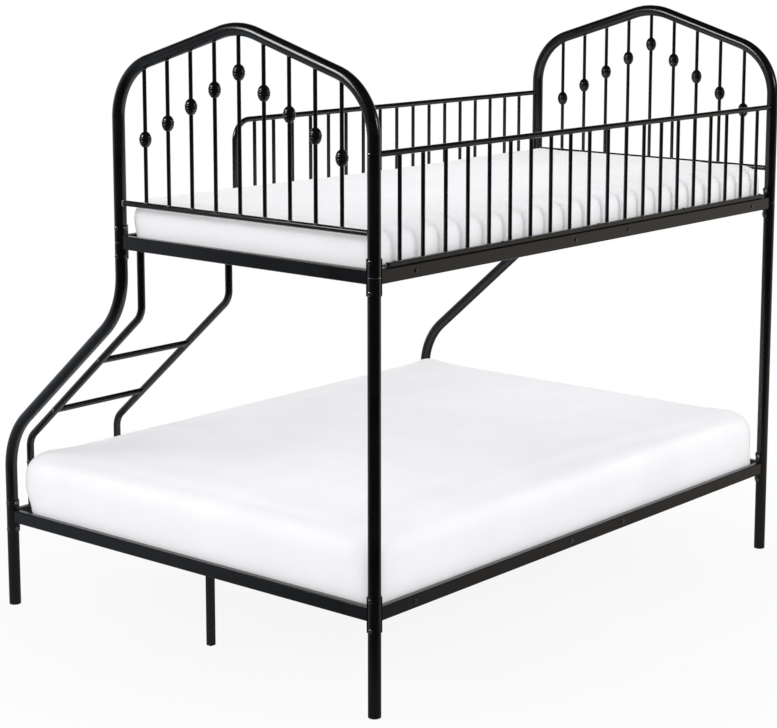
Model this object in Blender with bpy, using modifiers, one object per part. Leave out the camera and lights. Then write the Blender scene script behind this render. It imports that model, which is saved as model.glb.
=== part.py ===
"""Metal bunk bed: a narrow upper bunk over a wide lower one, in black tube, with two mattresses.

Metres, +Z up. X runs along the bed, with the ladder near its +X end. The wall side is +Y and the
ladder side, where the lower posts flare out, is -Y. The origin is on the floor, under the middle of
the bed's box.
"""

import math

import bmesh
import bpy
from mathutils import Vector

# Overall sizes, measured between the centres of the posts
post_spacing_x = 1.950
lower_post_spacing_y = 1.440
upper_post_spacing_y = 0.934

# Space between pieces that touch, and how far a cutter runs past what it cuts
gap = 0.0003
overrun = 0.004

# Posts and arches
post_diameter = 0.035
seam_height = 1.156
arch_shoulder_height = 1.6266
arch_peak_height = 1.771
arch_shoulder_radius = 0.170
arch_peak_radius = 0.224
flare_top_height = 0.961
flare_bottom_height = 0.523
flare_radius = 0.220
spigot_diameter = 0.030
spigot_length = 0.070

# Foot glides
glide_thickness = 0.004
glide_stem_diameter = 0.024
glide_stem_length = 0.018
leg_glide_thickness = 0.004

# Box rails
rail_thickness = 0.020
rail_height = 0.038
rail_corner_radius = 0.002
lower_rail_bottom = 0.257
upper_rail_bottom = 1.137

# Saddle brackets and the bolts through the posts
saddle_thickness = 0.003
saddle_height = 0.096
bolt_spacing = 0.079
bolt_diameter = 0.008
small_bolt_diameter = 0.006
bolt_head_diameter = 0.012
bolt_head_height = 0.003
nut_diameter = 0.012
nut_height = 0.004

# End grilles and knuckles
cross_tube_diameter = 0.016
cross_tube_height = 1.2666
spindle_diameter = 0.010
spindle_count = 9
spindle_pitch = 0.090
knuckle_peak_height = 1.648
knuckle_step = 0.0498
knuckle_diameter = 0.034
knuckle_height = 0.046

# Guardrails
guard_top_height = 1.465
guard_tube_diameter = 0.016
guard_bar_diameter = 0.010
guard_foot_size = 0.0127
guard_foot_inset = 0.052
wall_bar_count = 20
wall_first_bar = 0.0988
wall_bar_pitch = 0.0926
front_guard_start = 0.453
front_guard_corner_radius = 0.060
front_bar_count = 17
front_first_bar = 0.5357
front_bar_pitch = 0.0816

# Ladder
ladder_tube_diameter = 0.022
ladder_inset = 0.092
ladder_width = 0.350
ladder_bend_top_height = 0.932
ladder_bend_bottom_height = 0.494
ladder_bend_radius = 0.060
rung_diameter = 0.018
top_rung_height = 0.776
middle_rung_height = 0.598
bottom_rung_height = 0.420

# Slat panels
panel_first_bolt = 0.153
panel_bolt_spacing = 0.705
panel_bolt_gap = 0.264
panel_end_overhang = 0.043
panel_edge_thickness = 0.008
panel_edge_height = 0.027
slat_width = 0.030
slat_thickness = 0.010
slat_count = 9
slat_recess = 0.010
slat_stand_proud = 0.001

# Centre beam and legs
beam_width = 0.030
beam_height = 0.018
leg_size = 0.020
leg_inset = 0.118

# Mattresses
mattress_length = 1.910
upper_mattress_width = 0.890
upper_mattress_thickness = 0.118
lower_mattress_width = 1.396
lower_mattress_thickness = 0.182
mattress_edge_radius = 0.045
mattress_crown = 0.014
mattress_draw_in = 0.006
mattress_side_bulge = 0.005

# Numbers of sides and steps of the round shapes
post_sides = 16
tube_sides = 12
bar_sides = 6
bolt_sides = 8
knuckle_sides = 10
shoulder_steps = 6
flare_steps = 5
tight_bend_steps = 4

# Sizes worked out from the ones above
post_radius = post_diameter / 2
saddle_radius = post_radius + saddle_thickness
ladder_offset = rail_thickness / 2 + gap + ladder_tube_diameter / 2
ladder_reach = ladder_offset + ladder_tube_diameter / 2 + bolt_head_height / 2
overall_depth = post_radius + lower_post_spacing_y + ladder_reach

near_x = post_spacing_x / 2
far_x = -post_spacing_x / 2
wall_y = overall_depth / 2 - post_radius
lower_front_y = wall_y - lower_post_spacing_y
upper_front_y = wall_y - upper_post_spacing_y
upper_middle_y = (wall_y + upper_front_y) / 2
lower_middle_y = (wall_y + lower_front_y) / 2
lower_rail_top = lower_rail_bottom + rail_height
upper_rail_top = upper_rail_bottom + rail_height
lower_slat_top = lower_rail_top - slat_recess
upper_slat_top = upper_rail_top - slat_recess
ends = {"near": near_x, "far": far_x}
ladder_x = {"near": near_x - ladder_inset, "far": near_x - ladder_inset - ladder_width}
first_panel_bolt_x = near_x - panel_first_bolt
second_panel_bolt_x = first_panel_bolt_x - panel_bolt_spacing - panel_bolt_gap
panel_bolts_x = {
    "near": (first_panel_bolt_x, first_panel_bolt_x - panel_bolt_spacing),
    "far": (second_panel_bolt_x, second_panel_bolt_x - panel_bolt_spacing),
}


def remove_start_objects():
    """Clears what the file opened with, so that only the bed is left."""
    for item in list(bpy.data.objects):
        bpy.data.objects.remove(item, do_unlink=True)


def make_collection(name):
    collection = bpy.data.collections.new(name)
    bpy.context.scene.collection.children.link(collection)
    return collection


def make_material(name, colour, roughness, metallic):
    material = bpy.data.materials.new(name)
    material.use_nodes = True
    shader = material.node_tree.nodes["Principled BSDF"]
    shader.inputs["Base Color"].default_value = (*colour, 1)
    shader.inputs["Roughness"].default_value = roughness
    shader.inputs["Metallic"].default_value = metallic
    return material


remove_start_objects()
bed = make_collection("bunk_bed")
cutters = make_collection("cutters")
black_coat = make_material("black_powder_coat", (0.012, 0.012, 0.013), 0.32, 0.0)
cast_coat = make_material("black_cast_coat", (0.010, 0.010, 0.011), 0.42, 0.0)
black_plastic = make_material("black_plastic", (0.020, 0.020, 0.021), 0.55, 0.0)
white_cloth = make_material("white_fitted_sheet", (0.82, 0.81, 0.84), 0.90, 0.0)


def add_piece(name, mesh, material):
    """Puts a mesh in the bed's collection under its own name and material."""
    piece = bpy.data.objects.new(name, mesh)
    bed.objects.link(piece)
    if material is not None and not mesh.materials:
        mesh.materials.append(material)
    return piece


def move_to(piece, collection):
    for other in list(piece.users_collection):
        other.objects.unlink(piece)
    collection.objects.link(piece)


def smooth(piece):
    """Shades round walls smooth and keeps the edges at caps and corners sharp."""
    piece.data.shade_smooth()
    piece.data.set_sharp_from_angle(angle=math.radians(35))
    return piece


def boolean(target, operation, pieces):
    """Joins pieces to the target, or cuts them from it, and hides them as helpers."""
    group = bpy.data.collections.new(f"{target.name}_{operation.lower()}")
    cutters.children.link(group)
    for piece in pieces:
        move_to(piece, group)
        piece.hide_render = True
        piece.display_type = "WIRE"
    modifier = target.modifiers.new(operation.title(), "BOOLEAN")
    modifier.operation = operation
    modifier.operand_type = "COLLECTION"
    modifier.collection = group
    modifier.solver = "EXACT"
    return target


def box(name, low, high, material=None):
    """A closed box between two corners, with its origin at its middle."""
    low, high = Vector(low), Vector(high)
    bm = bmesh.new()
    bmesh.ops.create_cube(bm, size=1)
    bmesh.ops.scale(bm, vec=high - low, verts=bm.verts)
    mesh = bpy.data.meshes.new(name)
    bm.to_mesh(mesh)
    bm.free()
    piece = add_piece(name, mesh, material)
    piece.location = (low + high) / 2
    return piece


def rod(name, start, end, diameter, sides, material=None):
    """A straight round bar between two points."""
    start, end = Vector(start), Vector(end)
    bm = bmesh.new()
    radius = diameter / 2
    depth = (end - start).length
    bmesh.ops.create_cone(bm, cap_ends=True, segments=sides, radius1=radius, radius2=radius, depth=depth)
    mesh = bpy.data.meshes.new(name)
    bm.to_mesh(mesh)
    bm.free()
    piece = add_piece(name, mesh, material)
    piece.location = (start + end) / 2
    piece.rotation_mode = "QUATERNION"
    piece.rotation_quaternion = (end - start).to_track_quat("Z", "Y")
    return smooth(piece)


def rounded_path(corners, radii, steps):
    """The corners of a bent tube's centre line, with an arc of each radius at the inner corners."""
    corners = [Vector(corner) for corner in corners]
    points = [corners[0]]
    for before, corner, after, radius, count in zip(corners, corners[1:], corners[2:], radii, steps):
        towards = (before - corner).normalized()
        onwards = (after - corner).normalized()
        half_angle = towards.angle(onwards) / 2
        middle = corner + (towards + onwards).normalized() * radius / math.sin(half_angle)
        tangent = radius / math.tan(half_angle)
        first = corner + towards * tangent - middle
        last = corner + onwards * tangent - middle
        turn = first.angle(last)
        for step in range(count + 1):
            angle = turn * step / count
            points.append(middle + (first * math.sin(turn - angle) + last * math.sin(angle)) / math.sin(turn))
    points.append(corners[-1])
    return points


def tube(name, points, diameter, sides, material=None):
    """A round tube along a path, made as a bevelled curve and turned into a closed mesh."""
    curve = bpy.data.curves.new(name, "CURVE")
    curve.dimensions = "3D"
    curve.twist_mode = "MINIMUM"
    curve.bevel_depth = diameter / 2
    curve.bevel_resolution = (sides - 4) // 2
    curve.use_fill_caps = True
    spline = curve.splines.new("POLY")
    spline.points.add(len(points) - 1)
    for point, place in zip(spline.points, points):
        point.co = (*place, 1)
    guide = bpy.data.objects.new(f"{name}_path", curve)
    bed.objects.link(guide)
    evaluated = guide.evaluated_get(bpy.context.evaluated_depsgraph_get())
    mesh = bpy.data.meshes.new_from_object(evaluated)
    mesh.name = name
    bm = bmesh.new()
    bm.from_mesh(mesh)
    bmesh.ops.remove_doubles(bm, verts=bm.verts, dist=gap / 10)
    bmesh.ops.recalc_face_normals(bm, faces=bm.faces)
    bm.to_mesh(mesh)
    bm.free()
    mesh.materials.clear()
    piece = add_piece(name, mesh, material)
    piece.matrix_world = guide.matrix_world
    bpy.data.objects.remove(guide, do_unlink=True)
    bpy.data.curves.remove(curve)
    return smooth(piece)


def turned(name, profile, sides, material=None):
    """A turned piece: a profile of (radius, height) points, swept round Z by a Screw modifier."""
    mesh = bpy.data.meshes.new(name)
    places = [(radius, 0, height) for radius, height in profile]
    closed = profile[0][0] > 0
    edges = [(i, i + 1) for i in range(len(places) - 1)]
    if closed:
        edges.append((len(places) - 1, 0))
    mesh.from_pydata(places, edges, [])
    piece = add_piece(name, mesh, material)
    screw = piece.modifiers.new("Turn", "SCREW")
    screw.steps = sides
    screw.render_steps = sides
    screw.use_merge_vertices = True
    screw.merge_threshold = 0.00001
    screw.use_normal_calculate = False
    screw.use_smooth_shade = True
    return piece


def arch_path(x):
    """The centre line of an arched end frame, from the wall side seam to the front one."""
    corners = [
        (x, wall_y, seam_height),
        (x, wall_y, arch_shoulder_height),
        (x, upper_middle_y, arch_peak_height),
        (x, upper_front_y, arch_shoulder_height),
        (x, upper_front_y, seam_height),
    ]
    radii = (arch_shoulder_radius, arch_peak_radius, arch_shoulder_radius)
    return rounded_path(corners, radii, (shoulder_steps, tight_bend_steps, shoulder_steps))


def bolt_heights(rail_bottom):
    """The heights of the two bolts of a saddle, above and below its rail."""
    middle = rail_bottom + rail_height / 2
    return (middle - bolt_spacing / 2, middle + bolt_spacing / 2)


def post_holes(name, x, places):
    """Clearance holes along X through a post, at (y, z) places."""
    reach = saddle_radius + overrun
    return [
        rod(f"{name}_hole_{i}", (x - reach, y, z), (x + reach, y, z), bolt_diameter + 4 * gap, bolt_sides)
        for i, (y, z) in enumerate(places)
    ]


def bolt(name, place, outwards, diameter, face, reach, nut=False):
    """A bolt through a place: a domed head that starts a face's distance outwards, and a shank that
    reaches inwards, with or without a nut on its end."""
    head = bolt_head_diameter / 2
    dome_radius_share, dome_height_share = 0.7, 0.85
    shank = diameter / 2
    profile = [
        (0, face + bolt_head_height),
        (head * dome_radius_share, face + bolt_head_height * dome_height_share),
        (head, face),
        (shank, face),
        (shank, -reach),
    ]
    if nut:
        profile.append((nut_diameter / 2, -reach))
        profile.append((nut_diameter / 2, -reach - nut_height))
        profile.append((0, -reach - nut_height))
    else:
        profile.append((0, -reach))
    piece = turned(name, profile, bolt_sides)
    piece.location = place
    piece.rotation_mode = "QUATERNION"
    piece.rotation_quaternion = Vector(outwards).to_track_quat("Z", "Y")
    return piece


def make_arch(end, x):
    """An arched end frame: two upper posts and the peaked top in one bent tube, with a spigot below."""
    arch = tube(f"{end}_arch_frame", arch_path(x), post_diameter, post_sides, black_coat)
    spigots = [
        rod(
            f"{end}_spigot_{side}",
            (x, y, seam_height - spigot_length),
            (x, y, seam_height + overrun),
            spigot_diameter,
            post_sides,
        )
        for side, y in (("wall", wall_y), ("front", upper_front_y))
    ]
    boolean(arch, "UNION", spigots)
    low_bolt, high_bolt = bolt_heights(upper_rail_bottom)
    holes = [(y, z) for y in (wall_y, upper_front_y) for z in (low_bolt, high_bolt)]
    holes.append((wall_y, guard_top_height))
    if end == "far":
        holes.append((upper_front_y, guard_top_height))
    boolean(arch, "DIFFERENCE", post_holes(f"{end}_arch", x, holes))


def spindle_places():
    """The Y of each spindle and the height of its knuckle, which falls away from the middle."""
    middle = (spindle_count - 1) / 2
    return [
        (upper_middle_y + (i - middle) * spindle_pitch, knuckle_peak_height - abs(i - middle) * knuckle_step)
        for i in range(spindle_count)
    ]


def arch_centre_height(y):
    """The height of the arch's straight slope over a Y, before its corners are rounded."""
    share = 1 - abs(y - upper_middle_y) / (upper_post_spacing_y / 2)
    return arch_shoulder_height + (arch_peak_height - arch_shoulder_height) * share


def make_grille(end, x):
    """The thin cross tube with its welded spindles, coped to the arch and the posts."""
    grille = tube(
        f"{end}_arch_grille",
        [(x, wall_y, cross_tube_height), (x, upper_front_y, cross_tube_height)],
        cross_tube_diameter,
        tube_sides,
        black_coat,
    )
    spindles = [
        rod(
            f"{end}_spindle_{i}",
            (x, y, cross_tube_height),
            (x, y, arch_centre_height(y) - post_radius / 2),
            spindle_diameter,
            bar_sides,
        )
        for i, (y, _) in enumerate(spindle_places())
    ]
    boolean(grille, "UNION", spindles)
    clearance = tube(f"{end}_arch_clearance", arch_path(x), post_diameter + 2 * gap, post_sides)
    boolean(grille, "DIFFERENCE", [clearance])


def make_knuckles():
    """The cast knuckles: one turned egg with grooves and a bore, set on every spindle."""
    bore = spindle_diameter / 2 + gap
    radius_shares = (0.55, 0.93, 1.00, 0.88, 0.96, 0.82, 0.50)
    height_shares = (0.50, 0.33, 0.06, 0.00, -0.07, -0.26, -0.50)
    profile = [
        (knuckle_diameter / 2 * radius, knuckle_height * height)
        for radius, height in zip(radius_shares, height_shares)
    ]
    profile += [(bore, -knuckle_height / 2), (bore, knuckle_height / 2)]
    first = None
    for end, x in ends.items():
        for i, (y, z) in enumerate(spindle_places()):
            name = f"{end}_knuckle_{i + 1}"
            knuckle = turned(name, profile, knuckle_sides, cast_coat)
            if first is None:
                first = knuckle
            else:
                spare = knuckle.data
                knuckle.data = first.data
                bpy.data.meshes.remove(spare)
            knuckle.location = (x, y, z)


def post_bore(name, x, y):
    """The bore in the top of a lower post that the arch's spigot slides into."""
    return rod(
        f"{name}_bore",
        (x, y, seam_height - spigot_length - overrun),
        (x, y, seam_height + overrun),
        spigot_diameter + 2 * gap,
        post_sides,
    )


def stem_bore(name, x, y):
    """The bore in the foot of a post that holds the glide's stem."""
    return rod(
        f"{name}_stem_bore",
        (x, y, 0),
        (x, y, glide_thickness + glide_stem_length + gap),
        glide_stem_diameter + 2 * gap,
        post_sides,
    )


def make_lower_posts():
    """The straight posts on the wall side and the flared ones on the front, with their glides."""
    foot = glide_thickness + gap
    top = seam_height - gap
    for end, x in ends.items():
        paths = {
            "wall": [(x, wall_y, foot), (x, wall_y, top)],
            "flared": rounded_path(
                [
                    (x, lower_front_y, foot),
                    (x, lower_front_y, flare_bottom_height),
                    (x, upper_front_y, flare_top_height),
                    (x, upper_front_y, top),
                ],
                (flare_radius, flare_radius),
                (flare_steps, flare_steps),
            ),
        }
        for side, path in paths.items():
            name = f"{end}_{side}_post"
            foot_y = path[0][1]
            top_y = path[-1][1]
            post = tube(name, path, post_diameter, post_sides, black_coat)
            holes = [(foot_y, z) for z in bolt_heights(lower_rail_bottom)]
            holes.append((top_y, bolt_heights(upper_rail_bottom)[0]))
            cuts = post_holes(name, x, holes)
            cuts.append(post_bore(name, x, top_y))
            cuts.append(stem_bore(name, x, foot_y))
            boolean(post, "DIFFERENCE", cuts)
            make_glide(f"{end}_{side}_glide", x, foot_y)


def make_glide(name, x, y):
    """A plastic foot: a disc on the floor with a stem up into the post."""
    disc = post_radius
    stem = glide_stem_diameter / 2
    profile = [
        (0, glide_thickness + glide_stem_length),
        (stem, glide_thickness + glide_stem_length),
        (stem, glide_thickness),
        (disc, glide_thickness),
        (disc, glide_thickness / 3),
        (disc - glide_thickness / 3, 0),
        (0, 0),
    ]
    glide = turned(name, profile, post_sides, black_plastic)
    glide.location = (x, y, 0)


def rounded_box_rail(name, low, high):
    """A box tube with rounded corners."""
    rail = box(name, low, high, black_coat)
    bevel = rail.modifiers.new("Corners", "BEVEL")
    bevel.width = rail_corner_radius
    bevel.segments = 1
    return rail


def make_end_rails():
    """The rails across the ends, coped to the saddles that they meet."""
    levels = {
        "upper": (upper_front_y, upper_rail_bottom),
        "lower": (lower_front_y, lower_rail_bottom),
    }
    for end, x in ends.items():
        for level, (front_y, bottom) in levels.items():
            name = f"{level}_{end}_end_rail"
            rail = rounded_box_rail(
                name,
                (x - rail_thickness / 2, front_y, bottom),
                (x + rail_thickness / 2, wall_y, bottom + rail_height),
            )
            copes = [
                rod(
                    f"{name}_cope_{i}",
                    (x, y, bottom - overrun),
                    (x, y, bottom + rail_height + overrun),
                    2 * (saddle_radius + gap),
                    post_sides,
                )
                for i, y in enumerate((wall_y, front_y))
            ]
            boolean(rail, "DIFFERENCE", copes)


def half_disc(name, x, y, middle, inwards):
    """The blank of a saddle: a half disc that faces the inside of the bed's corner, on a post's axis."""
    curve = bpy.data.curves.new(name, "CURVE")
    curve.dimensions = "2D"
    curve.fill_mode = "BOTH"
    curve.extrude = saddle_height / 2
    spline = curve.splines.new("POLY")
    count = post_sides // 2 + 1
    spline.points.add(count - 1)
    facing = math.atan2(inwards[1], inwards[0])
    for i, point in enumerate(spline.points):
        angle = facing - math.pi / 2 + math.pi * i / (count - 1)
        point.co = (saddle_radius * math.cos(angle), saddle_radius * math.sin(angle), 0, 1)
    spline.use_cyclic_u = True
    guide = bpy.data.objects.new(f"{name}_outline", curve)
    bed.objects.link(guide)
    evaluated = guide.evaluated_get(bpy.context.evaluated_depsgraph_get())
    mesh = bpy.data.meshes.new_from_object(evaluated)
    bm = bmesh.new()
    bm.from_mesh(mesh)
    bmesh.ops.remove_doubles(bm, verts=bm.verts, dist=gap / 10)
    bmesh.ops.recalc_face_normals(bm, faces=bm.faces)
    bm.to_mesh(mesh)
    bm.free()
    bpy.data.objects.remove(guide, do_unlink=True)
    bpy.data.curves.remove(curve)
    piece = add_piece(name, mesh, None)
    piece.location = (x, y, middle)
    return piece


def make_side_rails():
    """The rails along the sides, each with a saddle and two through bolts at either end."""
    rails = {
        "upper_wall": (wall_y, upper_rail_bottom),
        "upper_front": (upper_front_y, upper_rail_bottom),
        "lower_wall": (wall_y, lower_rail_bottom),
        "lower_front": (lower_front_y, lower_rail_bottom),
    }
    for side, (y, bottom) in rails.items():
        name = f"{side}_side_rail"
        middle = bottom + rail_height / 2
        inwards_y = -1 if side.endswith("wall") else 1
        rail = rounded_box_rail(
            name,
            (far_x, y - rail_thickness / 2, bottom),
            (near_x, y + rail_thickness / 2, bottom + rail_height),
        )
        saddles = [
            half_disc(f"{name}_{end}_saddle", x, y, middle, (-x, inwards_y * near_x))
            for end, x in ends.items()
        ]
        boolean(rail, "UNION", saddles)
        clearances = [
            rod(
                f"{name}_{end}_clearance",
                (x, y, middle - saddle_height / 2 - overrun),
                (x, y, middle + saddle_height / 2 + overrun),
                post_diameter + 2 * gap,
                post_sides,
            )
            for end, x in ends.items()
        ]
        bolted_x = [x for pair in panel_bolts_x.values() for x in pair]
        if side.endswith("front"):
            bolted_x += ladder_x.values()
        reach = rail_thickness / 2 + overrun
        holes = [
            rod(
                f"{name}_hole_{i}",
                (x, y - reach, middle),
                (x, y + reach, middle),
                small_bolt_diameter + 4 * gap,
                bolt_sides,
            )
            for i, x in enumerate(bolted_x)
        ]
        boolean(rail, "DIFFERENCE", clearances + holes)
        face = post_radius + gap
        nut_seat = saddle_radius - saddle_thickness / 2
        bolts = [
            bolt(f"{name}_{end}_bolt_{i}", (x, y, z), (x, 0, 0), bolt_diameter, face, nut_seat, nut=True)
            for end, x in ends.items()
            for i, z in enumerate(bolt_heights(bottom))
        ]
        boolean(rail, "UNION", bolts)


def evenly(first, last, count):
    """Places from the first to the last, a count in all."""
    return [first + (last - first) * i / (count - 1) for i in range(count)]


def make_guardrails():
    """The wall guardrail along the whole side, and the front one that stops short of the ladder."""
    foot_bottom = upper_rail_top + gap
    foot_middle = foot_bottom + guard_foot_size / 2
    half_foot = guard_foot_size / 2
    front_start_x = near_x - front_guard_start
    guards = {
        "wall": {
            "y": wall_y,
            "path": [(near_x, wall_y, guard_top_height), (far_x, wall_y, guard_top_height)],
            "foot_end": near_x - guard_foot_inset,
            "bars": [near_x - wall_first_bar - i * wall_bar_pitch for i in range(wall_bar_count)],
            "bolted_ends": (near_x, far_x),
        },
        "front": {
            "y": upper_front_y,
            "path": rounded_path(
                [
                    (front_start_x, upper_front_y, foot_middle),
                    (front_start_x, upper_front_y, guard_top_height),
                    (far_x, upper_front_y, guard_top_height),
                ],
                (front_guard_corner_radius,),
                (tight_bend_steps,),
            ),
            "foot_end": front_start_x + half_foot,
            "bars": [near_x - front_first_bar - i * front_bar_pitch for i in range(front_bar_count)],
            "bolted_ends": (far_x,),
        },
    }
    for side, guard in guards.items():
        y = guard["y"]
        rail = tube(f"{side}_guardrail", guard["path"], guard_tube_diameter, tube_sides, black_coat)
        foot = box(
            f"{side}_guard_foot",
            (far_x + guard_foot_inset, y - half_foot, foot_bottom),
            (guard["foot_end"], y + half_foot, foot_bottom + guard_foot_size),
        )
        bars = [
            rod(
                f"{side}_guard_bar_{i}",
                (x, y, foot_middle),
                (x, y, guard_top_height),
                guard_bar_diameter,
                bar_sides,
            )
            for i, x in enumerate(guard["bars"])
        ]
        boolean(rail, "UNION", [foot, *bars])
        clearances = [
            rod(
                f"{side}_guard_clearance_{i}",
                (x, y, guard_top_height - post_diameter),
                (x, y, guard_top_height + post_diameter),
                post_diameter + 2 * gap,
                post_sides,
            )
            for i, x in enumerate(guard["bolted_ends"])
        ]
        boolean(rail, "DIFFERENCE", clearances)
        head_face = post_radius + gap
        bolts = [
            bolt(
                f"{side}_guard_bolt_{i}",
                (x, y, guard_top_height),
                (x, 0, 0),
                bolt_diameter,
                head_face,
                head_face + overrun,
            )
            for i, x in enumerate(guard["bolted_ends"])
        ]
        boolean(rail, "UNION", bolts)


def make_ladder():
    """Two bent rails, each bolted to the outside of both front side rails, and rungs between them."""
    top_y = upper_front_y - ladder_offset
    bottom_y = lower_front_y - ladder_offset
    bolt_places = {
        "top": (top_y, upper_rail_bottom + rail_height / 2),
        "bottom": (bottom_y, lower_rail_bottom + rail_height / 2),
    }
    for side, x in ladder_x.items():
        path = rounded_path(
            [
                (x, top_y, upper_rail_top),
                (x, top_y, ladder_bend_top_height),
                (x, bottom_y, ladder_bend_bottom_height),
                (x, bottom_y, lower_rail_bottom),
            ],
            (ladder_bend_radius, ladder_bend_radius),
            (tight_bend_steps, tight_bend_steps),
        )
        rail = tube(f"ladder_{side}_rail", path, ladder_tube_diameter, tube_sides, black_coat)
        bolts = [
            bolt(
                f"ladder_{side}_{level}_bolt",
                (x, y, z),
                (0, -1, 0),
                small_bolt_diameter,
                ladder_tube_diameter / 2 - bolt_head_height / 2,
                ladder_offset + rail_thickness / 2 - bolt_head_height,
            )
            for level, (y, z) in bolt_places.items()
        ]
        boolean(rail, "UNION", bolts)
    slope = (top_y - bottom_y) / (ladder_bend_top_height - ladder_bend_bottom_height)
    for i, z in enumerate((top_rung_height, middle_rung_height, bottom_rung_height)):
        y = bottom_y + slope * max(z - ladder_bend_bottom_height, 0)
        rung = rod(
            f"ladder_rung_{i + 1}",
            (ladder_x["near"], y, z),
            (ladder_x["far"], y, z),
            rung_diameter,
            tube_sides,
            black_coat,
        )
        lean = Vector((0, slope if z > ladder_bend_bottom_height else 0, 1))
        reach = lean.normalized() * rung_diameter
        copes = [
            rod(
                f"rung_{i + 1}_cope_{side}",
                Vector((x, y, z)) - reach,
                Vector((x, y, z)) + reach,
                ladder_tube_diameter + 2 * gap,
                tube_sides,
            )
            for side, x in ladder_x.items()
        ]
        boolean(rung, "DIFFERENCE", copes)


def make_slat_panels():
    """Two panels a bunk: edge bars bolted inside the side rails, with slats between them."""
    levels = {
        "upper": (upper_front_y, upper_rail_bottom, upper_slat_top),
        "lower": (lower_front_y, lower_rail_bottom, lower_slat_top),
    }
    side_clearance = rail_thickness / 2 + gap
    for level, (front_y, rail_bottom, slat_top) in levels.items():
        slat_bottom = slat_top - slat_thickness
        edge_top = slat_top - slat_stand_proud
        edge_bottom = edge_top - panel_edge_height
        low_y = front_y + side_clearance
        high_y = wall_y - side_clearance
        for end, bolts_x in panel_bolts_x.items():
            high_x = max(bolts_x) + panel_end_overhang
            low_x = min(bolts_x) - panel_end_overhang
            name = f"{level}_{end}_slat_panel"
            weld = panel_edge_thickness / 2
            panel = box(
                name,
                (low_x, low_y, edge_bottom),
                (high_x, low_y + panel_edge_thickness, edge_top),
                black_coat,
            )
            other_edge = box(
                f"{name}_edge",
                (low_x, high_y - panel_edge_thickness, edge_bottom),
                (high_x, high_y, edge_top),
            )
            slats = [
                box(
                    f"{name}_slat_{i}",
                    (x - slat_width / 2, low_y + weld, slat_bottom),
                    (x + slat_width / 2, high_y - weld, slat_top),
                )
                for i, x in enumerate(evenly(low_x + slat_width / 2, high_x - slat_width / 2, slat_count))
            ]
            bolts = [
                bolt(
                    f"{name}_{side}_bolt_{i}",
                    (x, y, rail_bottom + rail_height / 2),
                    (0, outwards, 0),
                    small_bolt_diameter,
                    side_clearance,
                    side_clearance + panel_edge_thickness / 2,
                )
                for side, y, outwards in (("wall", wall_y, 1), ("front", front_y, -1))
                for i, x in enumerate(bolts_x)
            ]
            boolean(panel, "UNION", [other_edge, *slats, *bolts])


def make_centre_support():
    """The beam under the lower slats, from end rail to end rail, on three square legs."""
    top = lower_slat_top - slat_thickness - gap
    reach = near_x - rail_thickness / 2 - gap
    box(
        "centre_beam",
        (-reach, lower_middle_y - beam_width / 2, top - beam_height),
        (reach, lower_middle_y + beam_width / 2, top),
        black_coat,
    )
    places = {"near": near_x - leg_inset, "middle": 0, "far": far_x + leg_inset}
    half = leg_size / 2
    for end, x in places.items():
        box(
            f"{end}_centre_leg",
            (x - half, lower_middle_y - half, leg_glide_thickness + gap),
            (x + half, lower_middle_y + half, top - beam_height - gap),
            black_coat,
        )
        box(
            f"{end}_leg_glide",
            (x - half, lower_middle_y - half, 0),
            (x + half, lower_middle_y + half, leg_glide_thickness),
            black_plastic,
        )


def make_mattress(name, middle_y, width, bottom, thickness):
    """A mattress from a coarse cage, with loops close to its edges, a crowned top and drawn-in sides."""
    half_sizes = (mattress_length / 2, width / 2, thickness / 2)
    inner_line_share = 0.4
    cage_lines = []
    for half in half_sizes:
        edge = 1 - mattress_edge_radius / half
        cage_lines.append((-1, -edge, -edge * inner_line_share, edge * inner_line_share, edge, 1))
    cuts = len(cage_lines[0]) - 2
    bm = bmesh.new()
    bmesh.ops.create_cube(bm, size=2)
    bmesh.ops.subdivide_edges(bm, edges=bm.edges[:], cuts=cuts, use_grid_fill=True)
    for vert in bm.verts:
        steps = [round((value + 1) / 2 * (cuts + 1)) for value in vert.co]
        shares = Vector(lines[step] for lines, step in zip(cage_lines, steps))
        crown = mattress_crown * (1 - shares.x**2) * (1 - shares.y**2) * max(shares.z, 0)
        slope_in = mattress_side_bulge * shares.z**2
        inset_x = (mattress_draw_in * (1 - shares.y**2) + slope_in) * (abs(shares.x) == 1)
        inset_y = (mattress_draw_in * (1 - shares.x**2) + slope_in) * (abs(shares.y) == 1)
        vert.co = (
            shares.x * (half_sizes[0] - inset_x),
            shares.y * (half_sizes[1] - inset_y),
            shares.z * half_sizes[2] + crown,
        )
    mesh = bpy.data.meshes.new(name)
    bm.to_mesh(mesh)
    bm.free()
    mattress = add_piece(name, mesh, white_cloth)
    mattress.location = (0, middle_y, bottom + gap + thickness / 2)
    subdivision = mattress.modifiers.new("Soft", "SUBSURF")
    subdivision.levels = 1
    subdivision.render_levels = 1
    mesh.shade_smooth()


for end_name, end_x in ends.items():
    make_arch(end_name, end_x)
    make_grille(end_name, end_x)
make_knuckles()
make_lower_posts()
make_end_rails()
make_side_rails()
make_guardrails()
make_ladder()
make_slat_panels()
make_centre_support()
upper_bed = (upper_middle_y, upper_mattress_width, upper_slat_top, upper_mattress_thickness)
lower_bed = (lower_middle_y, lower_mattress_width, lower_slat_top, lower_mattress_thickness)
make_mattress("upper_mattress", *upper_bed)
make_mattress("lower_mattress", *lower_bed)
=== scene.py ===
# %% [markdown]
# # A metal bunk bed with a wider lower bunk
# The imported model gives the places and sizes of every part. This script dresses it: bent
# tubes, welded bars, turned knuckles, bolts and two mattresses, each with a real finish.
# X runs along the bed, the ladder side is -Y, the wall side is +Y, and everything is in metres.

# %% Load the frame
import math
from itertools import product

import bmesh
import bpy
from mathutils import Matrix, Vector


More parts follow.
